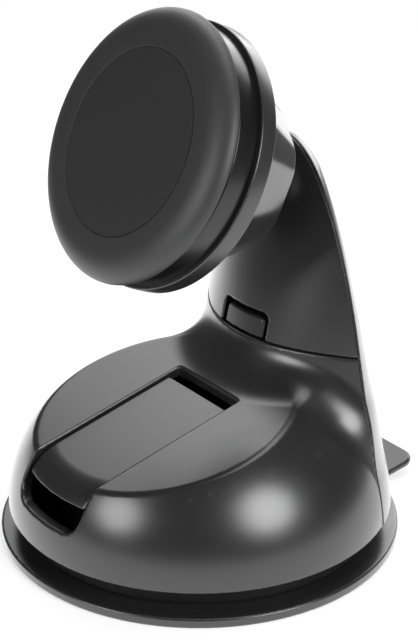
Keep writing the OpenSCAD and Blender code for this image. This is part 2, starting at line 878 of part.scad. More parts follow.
// Radii and places of the socket, from the ball outwards
liner_r = ball_r + fit + liner_t;
collar_r = liner_r + fit + collar_t;
liner_lead = 1;
liner_hold_share = 0.38;
collar_hold = 1.1;
liner_front = ball_back - ball_r - liner_lead;
liner_rear = ball_back + ball_r * liner_hold_share;
collar_rear = ball_back + collar_hold;
module ball_liner() color("#d8d8d4")
    at_head()
        difference() {
            translate([0, 0, -liner_rear])
                cylinder(r = liner_r, h = liner_rear - liner_front);
            translate([0, 0, -ball_back])
                sphere(ball_r + fit);
            translate([0, 0, -liner_rear - over])
                cylinder(r = sqrt(sq(ball_r + fit) - sq(liner_rear - ball_back)), h = over + liner_rear - ball_back);
        }

socket_flange_w = 1.6;
socket_flange_r = collar_r + socket_flange_w;
socket_flange_t = 1.4;
module ball_socket() color("#2a2a2c")
    at_head()
        difference() {
            union() {
                translate([0, 0, -collar_rear])
                    cylinder(r = collar_r, h = collar_rear - case_back - fit);
                translate([0, 0, -case_back - fit - socket_flange_t])
                    cylinder(r = socket_flange_r, h = socket_flange_t);
            }
            translate([0, 0, -collar_rear - over])
                cylinder(r = liner_r + fit, h = collar_rear - liner_front + fit + over);
        }

nut_front = back_back + pass;
module ring_nut() color("#2e2e30") {
    shelf = liner_rear + fit;
    bore_r = collar_r + fit;
    nut_slope = atan((nut_front_r - nut_rear_r) / (nut_back - nut_front));
    at_head()
        difference() {
            translate([0, 0, -nut_back])
                cylinder(r1 = nut_rear_r, r2 = nut_front_r, h = nut_back - nut_front);
            translate([0, 0, -collar_rear - fit])
                cylinder(r = bore_r, h = collar_rear + fit);
            translate([0, 0, -shelf])
                cylinder(r = liner_r + pass, h = shelf);
            translate([0, 0, -nut_back - over])
                cylinder(r = nut_mouth_r, h = nut_back);
            for (i = [0:facets - 1])
                rotate([0, 0, 360 * i / facets])
                    translate([nut_rear_r - facet_d, 0, -nut_back])
                        rotate([0, nut_slope, 0])
                            translate([0, -nut_back / 2, -nut_back / 2])
                                cube([nut_back, nut_back, 2 * nut_back]);
        }
}

/* Head */
screw_ring_r = 16.2;
head_screw_count = 3;
screw_places = [for (i = [0:head_screw_count - 1])
    let (a = 360 * i / head_screw_count)
    [screw_ring_r * sin(a), screw_ring_r * cos(a)]];
screw_head_r = head_screw_r * head_share;
screw_seat = case_back - case_floor / 2;
plate_edge = 0.4;
module head_plate() color("#303032")
    at_head()
        difference() {
            rotate_extrude()
                polygon([[0, -back_back], [back_r - plate_edge, -back_back], [back_r, -back_back + plate_edge],
                    [back_r, -case_back - plate_edge], [back_r - plate_edge, -case_back], [0, -case_back]]);
            translate([0, 0, -back_back - over])
                cylinder(r = collar_r + fit, h = back_back);
            translate([0, 0, -case_back - socket_flange_t - 2 * fit])
                cylinder(r = socket_flange_r + fit, h = big);
            for (p = screw_places)
                translate([p[0], p[1], -back_back + plate_edge])
                    cylinder(r = head_screw_r + fit, h = back_back);
        }

cavity_r = tray_r + pass;
module head_case() color("#202022")
    at_head()
        difference() {
            translate([0, 0, -case_back])
                cylinder(r = case_r, h = case_back - pad_back);
            translate([0, 0, -case_back + case_floor])
                cylinder(r = cavity_r, h = case_back);
            for (p = screw_places)
                translate([p[0], p[1], -case_back - over])
                    cylinder(r = head_screw_r + fit, h = case_back);
            for (p = screw_places)
                translate([p[0], p[1], -screw_seat])
                    cylinder(r = screw_head_r + fit, h = case_back);
        }

head_screw_len = back_back - screw_seat - plate_edge - fit;
module head_screws() color("#8c8c8e")
    at_head()
        for (p = screw_places)
            translate([p[0], p[1], -screw_seat]) {
                cylinder(r = screw_head_r, h = case_floor / 2 - fit);
                translate([0, 0, -head_screw_len])
                    cylinder(r = head_screw_r, h = head_screw_len + fit);
            }

keeper_back = case_back - case_floor;
module keeper_plate() color("#a8a8aa")
    at_head()
        translate([0, 0, -keeper_back])
            cylinder(r = tray_r, h = keeper_t);

tray_back = keeper_back - keeper_t;
tray_front = tray_back - magnet_t - pass;
module magnet_places() {
    for (i = [0:magnet_count - 1])
        rotate([0, 0, 360 * i / magnet_count])
            translate([magnet_ring_r, 0, 0])
                children();
}
module magnet_tray() color("#4c4c4e")
    at_head()
        difference() {
            translate([0, 0, -tray_back])
                cylinder(r = tray_r, h = tray_back - tray_front);
            magnet_places()
                translate([0, 0, -tray_back - over])
                    cylinder(r = magnet_r + fit, h = tray_back + over);
        }
module magnets() color("#c0c0c4")
    at_head()
        magnet_places()
            translate([0, 0, -tray_back])
                cylinder(r = magnet_r, h = magnet_t);

// Width of the pad's rounded edge, and of the gap round the disc
pad_roll = 4.6;
disc_gap = 0.2;
round_steps = 8;
module front_pad() color("#3a3a3b") {
    flat_r = pad_r - pad_roll;
    at_head()
        difference() {
            rotate_extrude()
                polygon(concat(
                    [[0, -pad_back], [case_r, -pad_back]],
                    [for (i = [0:round_steps])
                        [flat_r + (pad_r - flat_r) * cos(90 * i / round_steps),
                            -pad_round + pad_round * sin(90 * i / round_steps)]],
                    [[0, 0]]));
            translate([0, 0, -disc_t])
                cylinder(r = disc_r + disc_gap, h = big);
            translate([0, 0, -pad_back - over])
                cylinder(r = cavity_r, h = pad_back - tray_front + over);
        }
}

module face_disc() color("#303031")
    at_head()
        translate([0, 0, -disc_t])
            cylinder(r = disc_r, h = disc_t);

suction_cup();
cup_plate();
cup_stem();
stem_pin();
lift_spring();
base_plate();
base_housing();
base_screws();
lock_lever();
arm_plate();
arm_front();
rear_cover();
cover_screws();
release_catch();
catch_spring();
ball_stud();
stud_screw();
ball_liner();
ball_socket();
ring_nut();
head_plate();
head_case();
head_screws();
keeper_plate();
magnet_tray();
magnets();
front_pad();
face_disc();
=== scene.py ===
# %% [markdown]
# This lesson dresses a magnetic phone holder. The real object is a small stand: a rubber suction cup, a domed
# foot with a locking lever, an arm that leans back, and a round magnetic head on a ball joint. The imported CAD
# model gives every piece its place and its joints. The pieces that show are made again here with their soft
# moulded edges, and every piece gets its finish.

# %% Load the frame
import json
import math

import bpy
import numpy as np
from mathutils import Matrix, Vector


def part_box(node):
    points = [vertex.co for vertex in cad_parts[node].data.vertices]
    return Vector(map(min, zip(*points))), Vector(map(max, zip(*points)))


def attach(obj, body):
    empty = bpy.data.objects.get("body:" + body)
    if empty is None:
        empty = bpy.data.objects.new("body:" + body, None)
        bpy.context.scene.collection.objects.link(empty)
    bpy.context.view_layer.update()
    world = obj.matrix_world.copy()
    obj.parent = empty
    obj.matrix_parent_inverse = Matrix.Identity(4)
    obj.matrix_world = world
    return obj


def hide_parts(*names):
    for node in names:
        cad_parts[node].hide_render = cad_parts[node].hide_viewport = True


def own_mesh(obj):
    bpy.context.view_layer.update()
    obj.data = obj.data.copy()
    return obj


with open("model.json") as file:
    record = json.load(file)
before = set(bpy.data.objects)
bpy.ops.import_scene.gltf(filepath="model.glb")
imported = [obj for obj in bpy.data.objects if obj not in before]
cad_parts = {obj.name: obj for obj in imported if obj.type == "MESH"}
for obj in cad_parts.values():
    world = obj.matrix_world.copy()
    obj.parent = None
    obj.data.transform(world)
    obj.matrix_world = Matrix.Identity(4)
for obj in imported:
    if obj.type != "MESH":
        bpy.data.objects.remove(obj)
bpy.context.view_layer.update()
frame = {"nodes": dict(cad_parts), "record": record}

# %% [markdown]
# The script works in millimetres, because that is how such a holder is measured, and turns them into metres
# when it makes a piece. The places of the joints could be typed in again, but they are read from the frame,
# so that the shapes can't drift away from the motion.

# %% Read the places of the joints
MM = 0.001
joint = {entry["name"]: entry for entry in frame["record"]["behaviour"]["joints"]}
mount = {entry["name"]: entry for entry in frame["record"]["mounts"]}
BALL = np.array(joint["head_roll"]["pos_m"]) / MM
FACE = np.array(mount["head_face"]["pos_m"]) / MM
PIN_Z = joint["lever_hinge"]["pos_m"][2] / MM
LEVER_OPEN = math.radians(joint["lever_hinge"]["range_deg"][1])
LIFT = -joint["cup_lift"]["range_m"][0] / MM
print("ball", BALL.round(3), "face", FACE.round(3), "pin height", round(PIN_Z, 3), "lift", round(LIFT, 3))

# %% [markdown]
# A moulded shell is hard to build from polygons by hand, because every edge on it is rounded and every corner
# blends. Bevels on a cut mesh fail where several cuts meet. A distance field is a good way round that: a
# function that says how far a point lies outside the form, negative inside. Fields join and cut each other
# with a rounding of any radius.

# %% Join and cut fields with rounded edges
def joined(a, b, r):
    """Both forms together, with a hollow fillet of radius r where they meet."""
    u, v = np.maximum(r - a, 0), np.maximum(r - b, 0)
    return np.maximum(r, np.minimum(a, b)) - np.sqrt(u * u + v * v)


def common(a, b, r):
    """What both forms share, with an edge of radius r where they cross."""
    u, v = np.maximum(r + a, 0), np.maximum(r + b, 0)
    return np.minimum(-r, np.maximum(a, b)) + np.sqrt(u * u + v * v)


def evened(raw, e=0.05):
    """A formula that is zero on the surface, divided by its slope so that it is close to a distance."""

    def field(x, y, z):
        v = raw(x, y, z)
        gx, gy, gz = raw(x + e, y, z) - v, raw(x, y + e, z) - v, raw(x, y, z + e) - v
        return v * e / np.sqrt(gx * gx + gy * gy + gz * gz + 1e-12)

    return field


print("a rounding of 1 mm takes", round(float(common(0.0, 0.0, 1.0)), 3), "mm off a sharp corner")

# %% Draw flat outlines as fields
def rounded_box(u, v, half_u, half_v, corner):
    """Distance to a rectangle round the origin of a plane, with rounded corners."""
    a, b = np.abs(u) - half_u + corner, np.abs(v) - half_v + corner
    return np.hypot(np.maximum(a, 0), np.maximum(b, 0)) + np.minimum(np.maximum(a, b), 0) - corner


def outline(u, v, points):
    """Distance to a closed outline of straight lines, negative inside it."""
    best, inside = np.full(np.shape(u), 1e9), np.zeros(np.shape(u), bool)
    for (u0, v0), (u1, v1) in zip(points, points[1:] + points[:1]):
        du, dv = u1 - u0, v1 - v0
        t = np.clip(((u - u0) * du + (v - v0) * dv) / (du * du + dv * dv), 0, 1)
        best = np.minimum(best, (u - u0 - t * du) ** 2 + (v - v0 - t * dv) ** 2)
        if v0 != v1:
            inside ^= ((v0 > v) != (v1 > v)) & (u < u0 + du * (v - v0) / dv)
    return np.where(inside, -1, 1) * np.sqrt(best)


def nearest(u, v, places):
    """Distance in a plane to the nearest of some places."""
    return np.minimum.reduce([np.hypot(u - a, v - b) for a, b in places])


print("the middle of a 2 mm square lies", -float(rounded_box(0.0, 0.0, 1, 1, 0)), "mm deep")

# %% [markdown]
# A field has no mesh yet. Cubes that are marked solid or empty would give stairs, so a surface net is made
# instead: each cell of a grid that the surface passes through gets one point, and the cells round a grid line
# that crosses the surface are joined by a quad. Each point is then pulled onto the surface along the field's
# slope, which also gives its normal, so the mesh looks as smooth as the formula.

# %% Find points and quads on a grid
CORNERS = np.array([(i, j, k) for i in (0, 1) for j in (0, 1) for k in (0, 1)])
EDGES = [(a, b) for a in range(8) for b in range(8) if a < b and abs(CORNERS[a] - CORNERS[b]).sum() == 1]


def crossings(d, cells):
    """The mean of the places where the surface crosses each cell's edges, counted in cells."""
    value = np.stack([d[tuple((cells + c).T)] for c in CORNERS], 1)
    total, hits = np.zeros((len(cells), 3)), np.zeros((len(cells), 1))
    for a, b in EDGES:
        crossed = (value[:, a] < 0) != (value[:, b] < 0)
        t = value[crossed, a] / (value[crossed, a] - value[crossed, b])
        total[crossed] += CORNERS[a] + t[:, None] * (CORNERS[b] - CORNERS[a])
        hits[crossed] += 1
    return cells + total / hits


def net(solid, number):
    """Quads between the numbered cells, one round each grid line that has one end in the solid."""
    quads = []
    for axis in range(3):
        one, two = (axis + 1) % 3, (axis + 2) % 3
        first = np.moveaxis(solid, axis, 0)
        change = np.argwhere(first[:-1] != first[1:])
        at = np.zeros_like(change)
        order = [axis] + [i for i in range(3) if i != axis]
        for i, o in enumerate(order):
            at[:, o] = change[:, i]
        at = at[(at[:, one] > 0) & (at[:, two] > 0) & (at < np.array(number.shape)).all(1)]
        away = solid[tuple(at.T)]
        ring = []
        for du, dv in ((-1, -1), (0, -1), (0, 0), (-1, 0)):
            cell = at.copy()
            cell[:, one] += du
            cell[:, two] += dv
            ring.append(number[tuple(cell.T)])
        ring = np.stack(ring, 1)
        quads.append(np.where(away[:, None], ring, ring[:, ::-1]))
    return np.concatenate(quads)


print("a cell has", len(CORNERS), "corners and", len(EDGES), "edges")

# %% Pull the points onto the surface
PULLS, LONGEST_PULL = 4, 0.4  # how often each point is pulled, and the longest pull as a share of a cell
LOWEST_SLOPE = 0.2  # a flatter slope than this is taken as this, so that no pull runs wild


def slope(field, p, e=0.02):
    """The field's value and direction of steepest rise at each point."""
    steps = [field(*(p + d).T) - field(*(p - d).T) for d in e * np.eye(3)]
    return field(*p.T), np.stack(steps, 1) / (2 * e)


def skin(field, low, high, step):
    """Points, quads and normals of the field's surface in a box, in millimetres."""
    axes = [np.arange(a - step, b + 2 * step, step) for a, b in zip(low, high)]
    d = field(*np.meshgrid(*axes, indexing="ij"))
    solid = d < 0
    side = (slice(None, -1), slice(1, None))
    count = sum(solid[side[i], side[j], side[k]].astype(np.int8) for i, j, k in CORNERS)
    cells = np.argwhere((count > 0) & (count < 8))
    number = np.full(count.shape, -1)
    number[tuple(cells.T)] = np.arange(len(cells))
    points = np.array([a[0] for a in axes]) + step * crossings(d, cells)
    for _ in range(PULLS):
        v, g = slope(field, points)
        move = v[:, None] * g / np.maximum((g * g).sum(1, keepdims=True), LOWEST_SLOPE**2)
        length = np.linalg.norm(move, axis=1, keepdims=True)
        points -= move * np.minimum(1, LONGEST_PULL * step / np.maximum(length, 1e-9))
    _, g = slope(field, points)
    return points, net(solid, number), g / np.maximum(np.linalg.norm(g, axis=1, keepdims=True), 1e-9)


def test_ball(x, y, z):
    """A ball of 2 mm radius."""
    return np.sqrt(x * x + y * y + z * z) - 2


tried = np.linalg.norm(skin(test_ball, (-2.1, -2.1, -2.1), (2.1, 2.1, 2.1), 0.3)[0], axis=1)
print("a test ball of 2 mm comes out between", tried.min().round(4), "and", tried.max().round(4), "mm")

# %% Turn meshes into pieces
def piece(name, points, faces, normals=None, place=None):
    """A Blender object from millimetre points and faces, in the frame's own coordinates."""
    mesh = bpy.data.meshes.new(name)
    mesh.from_pydata((np.asarray(points) * MM).tolist(), [], [list(map(int, f)) for f in faces])
    if place is not None:
        mesh.transform(place)
    mesh.validate()
    mesh.polygons.foreach_set("use_smooth", [True] * len(mesh.polygons))
    if normals is not None:
        turn = np.array(place.to_3x3()) if place is not None else np.eye(3)
        mesh.normals_split_custom_set_from_vertices((np.asarray(normals) @ turn.T).tolist())
    obj = bpy.data.objects.new(name, mesh)
    bpy.context.scene.collection.objects.link(obj)
    print(name, len(mesh.vertices), "points,", len(mesh.polygons), "faces")
    return obj


def moulded(name, field, low, high, step, place=None):
    """A piece from a distance field."""
    points, quads, normals = skin(field, low, high, step)
    return piece(name, points, quads, normals, place)


print("the frame has", len(frame["nodes"]), "nodes that pieces can stand for")

# %% [markdown]
# A round piece needs no field. Its outline is spun about an axis, as on a lathe, which gives clean rings of
# quads. Each corner of the outline carries its own rounding and becomes a small arc before the spin. Only
# sharp creases split the shading, so that the arcs stay soft.

# %% Turn an outline on a lathe
ARC_STEPS, ON_AXIS = 5, 1e-6  # pieces of one rounded corner, and the radius below which a ring is one point
LONGEST_REACH = 0.49  # a rounding takes at most this share of each side of its corner
CREASE = math.radians(38)  # faces that meet at more than this show a crease


def softened(corners):
    """An outline of (radius, height, rounding) corners with each corner turned into an arc."""
    out = []
    for i, (r, z, rounding) in enumerate(corners):
        here = np.array((r, z), float)
        if rounding == 0:
            out.append(here)
            continue
        before = np.array(corners[i - 1][:2], float) - here
        after = np.array(corners[(i + 1) % len(corners)][:2], float) - here
        a, b = np.linalg.norm(before), np.linalg.norm(after)
        half = math.acos(np.clip(before @ after / (a * b), -1, 1)) / 2
        reach = min(rounding / math.tan(half), LONGEST_REACH * a, LONGEST_REACH * b)
        start, end = here + before / a * reach, here + after / b * reach
        for k in range(ARC_STEPS + 1):
            t = k / ARC_STEPS
            out.append((1 - t) ** 2 * start + 2 * t * (1 - t) * here + t * t * end)
    return out


def turned(name, corners, place=None, sides=160):
    """A piece turned on the Z axis from a closed outline, given so that the solid lies on its left."""
    rings = softened(corners)
    points, start = [], []
    for r, z in rings:
        start.append(len(points))
        if r < ON_AXIS:
            points.append((0, 0, z))
        else:
            points += [(r * math.cos(t), r * math.sin(t), z) for t in np.arange(sides) * math.tau / sides]
    faces = []
    for i, (r, _) in enumerate(rings):
        j = (i + 1) % len(rings)
        a, b, s = start[i], start[j], rings[j][0]
        for k in range(sides):
            m = (k + 1) % sides
            if r < ON_AXIS and s < ON_AXIS:
                break
            if r < ON_AXIS:
                faces.append((a, b + m, b + k))
            elif s < ON_AXIS:
                faces.append((a + k, a + m, b))
            else:
                faces.append((a + k, a + m, b + m, b + k))
    obj = piece(name, points, faces, place=place)
    keep = obj.modifiers.new("edges", "EDGE_SPLIT")
    keep.split_angle = CREASE
    return obj


rounded_square = softened([(0, 0, 0), (1, 0, 0.1), (1, 1, 0), (0, 1, 0)])
print("a square with one rounded corner has", len(rounded_square), "points")

# %% [markdown]
# The photograph looks down on the holder from its front left. A camera could be moved by eye until the view
# is about right, but its perspective would be off. This one was found by fitting the cup's rim, the head's
# disc and the lever's slot, so it stands where the photographer stood.

# %% Place the camera
VIEW_AZIMUTH, VIEW_RISE = math.radians(53.456), math.radians(23.314)
STAND = (1.651, 35.212, 295.357)  # the camera's place along its own right, upward and backward axes
SENSOR, LENS = 36, 93.33
NEAR_CLIP, FAR_CLIP = 0.01, 10  # in metres
level = math.cos(VIEW_RISE)
across = Vector((math.cos(VIEW_AZIMUTH), math.sin(VIEW_AZIMUTH), 0))
back = Vector((math.sin(VIEW_AZIMUTH) * level, -math.cos(VIEW_AZIMUTH) * level, math.sin(VIEW_RISE)))
upward = back.cross(across)
camera = bpy.data.objects.new("camera", bpy.data.cameras.new("camera"))
bpy.context.scene.collection.objects.link(camera)
camera.data.sensor_width = SENSOR
camera.data.lens = LENS
camera.location = (STAND[0] * across + STAND[1] * upward + STAND[2] * back) * MM
camera.rotation_euler = Matrix((across, upward, back)).transposed().to_euler()
camera.data.clip_start, camera.data.clip_end = NEAR_CLIP, FAR_CLIP
bpy.context.scene.camera = camera
print("camera at", [round(v, 4) for v in camera.location])

# %% [markdown]
# The foot's housing is a dome with a sloping deck cut across it and a neck that rises to the arm. It could be
# three meshes joined by booleans, but then the join between neck and deck would have no soft hollow. As
# fields they blend. The fillet tightens down the flanks, where the neck's wall runs into the dome.

# %% Dome and deck
HOUSING_Z = 5.3  # lower edge of the housing
DOME_Z, DOME_R, DOME_H = 5.0, 33.5, 27.2
DECK_Z, DECK_GRADE, DECK_EDGE = 25.6, math.tan(math.radians(14)), 0.45


def dome(x, y, z):
    """About the distance to an ellipsoid, whose upper half is the dome."""
    k = np.sqrt((x * x + y * y) / DOME_R**2 + ((z - DOME_Z) / DOME_H) ** 2)
    m = np.sqrt((x * x + y * y) / DOME_R**4 + (z - DOME_Z) ** 2 / DOME_H**4)
    return k * (k - 1) / np.maximum(m, 1e-6)


def deck(x, y, z):
    """Height over the sloping plane of the deck."""
    return (z - DECK_Z - DECK_GRADE * y) / math.hypot(1, DECK_GRADE)


print("the full dome would be", DOME_Z + DOME_H, "mm high, and the deck cuts it at", DECK_Z, "mm")

# %% The neck and the arm's outline
PART_Y, SEAM_Z, ARM_TOP = 17.7, 34.0, 68.3  # parting plane of the arm, seam above the foot, tip of the arm
ARCH_W, ARCH_H = 26.8, 90.0
NECK_D, LEAN, FLARE = 9.2, 0.23, 0.25  # depth at the seam, loss of depth upwards, gain of width downwards


def arch_width(z):
    """Half width of the arm's outline, an arch that springs from far below the seam."""
    h = np.clip(ARM_TOP - z, 0.001, ARCH_H)
    return ARCH_W * np.sqrt(1 - ((ARCH_H - h) / ARCH_H) ** 2)


def neck_raw(x, y, z):
    """A bow in front of the parting plane, as wide as the arch."""
    w = np.where(z > SEAM_Z, arch_width(z), arch_width(SEAM_Z) + FLARE * (SEAM_Z - z))
    d = np.minimum(NECK_D - LEAN * (z - SEAM_Z), w)
    return PART_Y - y - d * (1 - (x / w) ** 2)


neck = evened(neck_raw)
print("the arm is", round(2 * float(arch_width(SEAM_Z)), 2), "mm wide at the seam")

# %% The whole foot
FILLET_LOW, FILLET_HIGH = 0.9, 6.0  # fillet radius at the flank's foot and on the deck
FILLET_FROM, FILLET_TO = 13, 25  # heights between which it grows


def foot_form(x, y, z):
    """The foot without its slot and its hollow."""
    up = np.clip((z - FILLET_FROM) / (FILLET_TO - FILLET_FROM), 0, 1)
    fillet = FILLET_LOW + (FILLET_HIGH - FILLET_LOW) * up * up * (3 - 2 * up)
    capped_dome = common(dome(x, y, z), deck(x, y, z), DECK_EDGE)
    return joined(capped_dome, neck(x, y, z), fillet)


print("the fillet grows from", FILLET_LOW, "to", FILLET_HIGH, "mm")

# %% [markdown]
# The real housing is a thin shell. The lever's slot runs over the deck's edge and ends in a scoop for a
# fingertip, and posts inside take the screws. The hollow is the same form again, smaller by the wall's
# thickness. A second outline for it would have to be kept in step, and a field gives it with one addition.

# %% The housing
SLOT_HALF, SLOT_FLOOR, SLOT_REAR, SLOT_CORNER = 8.7, 11, 1.9, 3
OPEN_END = 50  # half length of a cut or a plate that runs out past its piece
POSTS = [(20.5, -11), (-20.5, -11), (20.5, 9), (-20.5, 9)]
COVER_PLACES = [(13, 28), (-13, 28), (0, 48)]  # the rear cover's screws, as x and z
WALL, POST_R, SEAM_GAP = 2.0, 3, 0.15  # names that end in HALF are half widths, here and below
LOWER_EDGE, SEAM_EDGE, SLOT_EDGE, SCOOP_EDGE = 0.5, 0.3, 0.35, 0.6


def slot(x, y, z):
    """The lever's slot, open to the front and upwards."""
    gap = rounded_box(x, z - SLOT_FLOOR - OPEN_END, SLOT_HALF, OPEN_END, SLOT_CORNER)
    return common(gap, y - SLOT_REAR, SCOOP_EDGE)


def housing(x, y, z):
    """The foot's shell with its posts."""
    form = foot_form(x, y, z)
    outer = common(common(form, HOUSING_Z - z, LOWER_EDGE), y - PART_Y, SEAM_EDGE)
    outer = common(common(outer, z - SEAM_Z + SEAM_GAP, SEAM_EDGE), -slot(x, y, z), SLOT_EDGE)
    posts, bosses = nearest(x, y, POSTS) - POST_R, nearest(x, z, COVER_PLACES[:2]) - POST_R
    hollow = np.maximum(form + WALL, -np.minimum(posts, bosses))
    return np.maximum(outer, -hollow)


housing_piece = moulded("foot_housing", housing, low=(-34.5, -34.5, 4.8), high=(34.5, 18.2, 34.3), step=0.42)
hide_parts("base_housing")
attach(housing_piece, "base")

# %% [markdown]
# The arm is two shells that meet in one upright plane. The front one has a shallow bow, the window for the
# catch and a round boss from which the ball stud comes out. It shares the neck's formula with the foot, so
# that the surface runs on across the seam without a step.

# %% The arm's front shell
STUD_SLANT = math.radians(13)  # how far the stud points down as it goes back
STUD_DIR = np.array((0, math.cos(STUD_SLANT), -math.sin(STUD_SLANT)))
BOSS_R, BOSS_FRONT, BOSS_REAR, BOSS_CORE = 4.2, 10.64, 12.9, 10.0  # radius, then places behind the ball
WINDOW_HALF, WINDOW_TOP, WINDOW_CORNER, WINDOW_LEDGE = 5.95, 38.6, 1.3, 1
BELOW_SEAM = 10  # half height of a window or a key that runs out below the seam
ARM_WALL, ARM_EDGE, BOSS_EDGE = 1.6, 0.35, 0.4


def arm_shell(x, y, z):
    """The front shell with its boss, window and one screw post."""
    form = np.maximum(neck(x, y, z), z - ARM_TOP)
    along = (y - BALL[1]) * STUD_DIR[1] + (z - BALL[2]) * STUD_DIR[2]
    off = np.sqrt(x * x + (y - BALL[1]) ** 2 + (z - BALL[2]) ** 2 - along**2 + 1e-9)
    boss = common(off - BOSS_R, BOSS_FRONT - along, BOSS_EDGE)
    outer = joined(form, np.maximum(boss, along - BOSS_REAR), BOSS_EDGE)
    outer = common(common(outer, SEAM_Z - z, SEAM_EDGE), y - PART_Y, ARM_EDGE)
    window = rounded_box(x, z - WINDOW_TOP + BELOW_SEAM, WINDOW_HALF, BELOW_SEAM, WINDOW_CORNER)
    outer = common(outer, -np.maximum(window, y - PART_Y + WINDOW_LEDGE), ARM_EDGE)
    hollow = np.maximum(form + ARM_WALL, POST_R - nearest(x, z, COVER_PLACES[2:]))
    hollow = np.maximum(hollow, -np.maximum(off - BOSS_R, BOSS_CORE - along))
    return np.maximum(outer, -hollow)


arm_piece = moulded("arm_front_shell", arm_shell, low=(-21.5, 7.5, 33.5), high=(21.5, 18, 68.8), step=0.36)
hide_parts("arm_front")
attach(arm_piece, "base")

# %% [markdown]
# The rear cover runs from the foot to the arm's tip as a single spine and meets both front shells in the
# parting plane. A drawn outline would leave small steps there, so its width is measured on the foot's own
# field, level by level, by halving an interval until it closes on the surface.

# %% Measure the foot in the parting plane
LEVELS_FROM, LEVEL_STEP, HALVINGS = 4, 0.25, 40
NARROWEST, WIDEST = 10.0, 36.0  # half widths that are surely inside and outside the foot
levels = np.arange(LEVELS_FROM, SEAM_Z + LEVEL_STEP / 2, LEVEL_STEP)
foot_half, too_wide = np.full(len(levels), NARROWEST), np.full(len(levels), WIDEST)
for _ in range(HALVINGS):
    middle = (foot_half + too_wide) / 2
    inside = foot_form(middle, np.full(len(levels), PART_Y), levels) < 0
    foot_half, too_wide = np.where(inside, middle, foot_half), np.where(inside, too_wide, middle)
print("foot's half width at the parting plane", foot_half[::20].round(2))

# %% The rear cover
SPINE_D, SPINE_LEAN, SPINE_SHARE = 16.4, 0.2, 0.55  # depth at the foot, its loss upwards, its limit by width
SINK_R, SINK_SEAT, HOLE_R = 3, 5.4, 1.25  # where the screws' heads lie
COVER_POST_R, COVER_POST_D = 4.6, 2.5


def spine_raw(x, y, z):
    """A round back of the same width as the shells in front of it."""
    w = np.where(z > SEAM_Z, arch_width(z), np.interp(z, levels, foot_half))
    d = np.minimum(SPINE_D - SPINE_LEAN * (np.maximum(z, HOUSING_Z) - HOUSING_Z), SPINE_SHARE * w)
    bow = (w * w + d * d) / (2 * d)
    return np.hypot(x, y - PART_Y - d + bow) - bow


spine = evened(spine_raw)


def cover_shell(x, y, z):
    """The rear shell with its sunken screw seats."""
    form = np.maximum(spine(x, y, z), z - ARM_TOP)
    outer = common(common(form, HOUSING_Z - z, LOWER_EDGE), PART_Y - y, ARM_EDGE)
    off = nearest(x, z, COVER_PLACES)
    sunk = np.maximum(off - SINK_R, PART_Y + SINK_SEAT - y)
    outer = common(outer, -sunk, ARM_EDGE)
    hollow = np.maximum(form + ARM_WALL, -np.maximum(off - COVER_POST_R, PART_Y + COVER_POST_D - y))
    return np.maximum(np.maximum(outer, -hollow), HOLE_R - off)


cover_piece = moulded(
    "arm_rear_cover", cover_shell, low=(-30.5, 17.4, 4.8), high=(30.5, 34.6, 68.8), step=0.42
)
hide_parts("rear_cover")
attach(cover_piece, "base")

# %% [markdown]
# Three steel screws sit sunken in the rear cover. Each head has a soft rim and a cross recess that narrows as
# it goes in. One field does for all three, because it measures every point from the screw that is nearest.

# %% The cover's screws
SCREW_PLAY = 0.05  # the heads lie this far behind their seats
SCREW_SEAT = SINK_SEAT + SCREW_PLAY
HEAD_R, HEAD_H, HEAD_EDGE = 2.28, 1.44, 0.4
SHANK_R, SHANK_LENGTH, SHANK_EDGE, SHANK_TOP = 1.2, 10, 0.3, 0.7
CROSS_HALF, CROSS_REACH, CROSS_SLOPE, CROSS_FLOOR = 0.36, 0.5, 0.6, 0.35
(LOW_X, LOW_Z), (_, HIGH_Z) = COVER_PLACES[0], COVER_PLACES[2]


def cover_screws(x, y, z):
    """All three screws, the two low ones as mirror images."""
    high = z > (LOW_Z + HIGH_Z) / 2
    u, v = np.where(high, x, np.abs(x) - LOW_X), np.where(high, z - HIGH_Z, z - LOW_Z)
    off, h = np.hypot(u, v), y - PART_Y - SCREW_SEAT
    head = np.maximum(common(off - HEAD_R, h - HEAD_H, HEAD_EDGE), -h)
    shank = np.maximum(common(off - SHANK_R, -h - SHANK_LENGTH, SHANK_EDGE), h - SHANK_TOP)
    thin, wide = np.minimum(np.abs(u), np.abs(v)), np.maximum(np.abs(u), np.abs(v))
    arms = np.maximum(thin - CROSS_HALF, wide - CROSS_REACH - CROSS_SLOPE * h)
    cross = np.maximum(arms, CROSS_FLOOR - h)
    return np.maximum(np.minimum(head, shank), -cross)


screws_piece = moulded(
    "cover_screw_heads", cover_screws, low=(-15.5, 17.0, 25.5), high=(15.5, 29.6, 50.5), step=0.2
)
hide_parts("cover_screws")
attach(screws_piece, "base")

# %% [markdown]
# A small wound spring pushes the catch forward and shortens as the catch goes in. A curve with a bevel would
# make it too. Here it is a mesh from two angles, one along the coil and one round the wire, because a mesh
# can be squashed at a pose as it is. Its size comes from the box of the CAD spring.

# %% The catch's spring
TURN_STEPS, WIRE_SIDES = 48, 12  # faces along one turn and round the wire
WIRE_R, TURNS = 0.2, 2


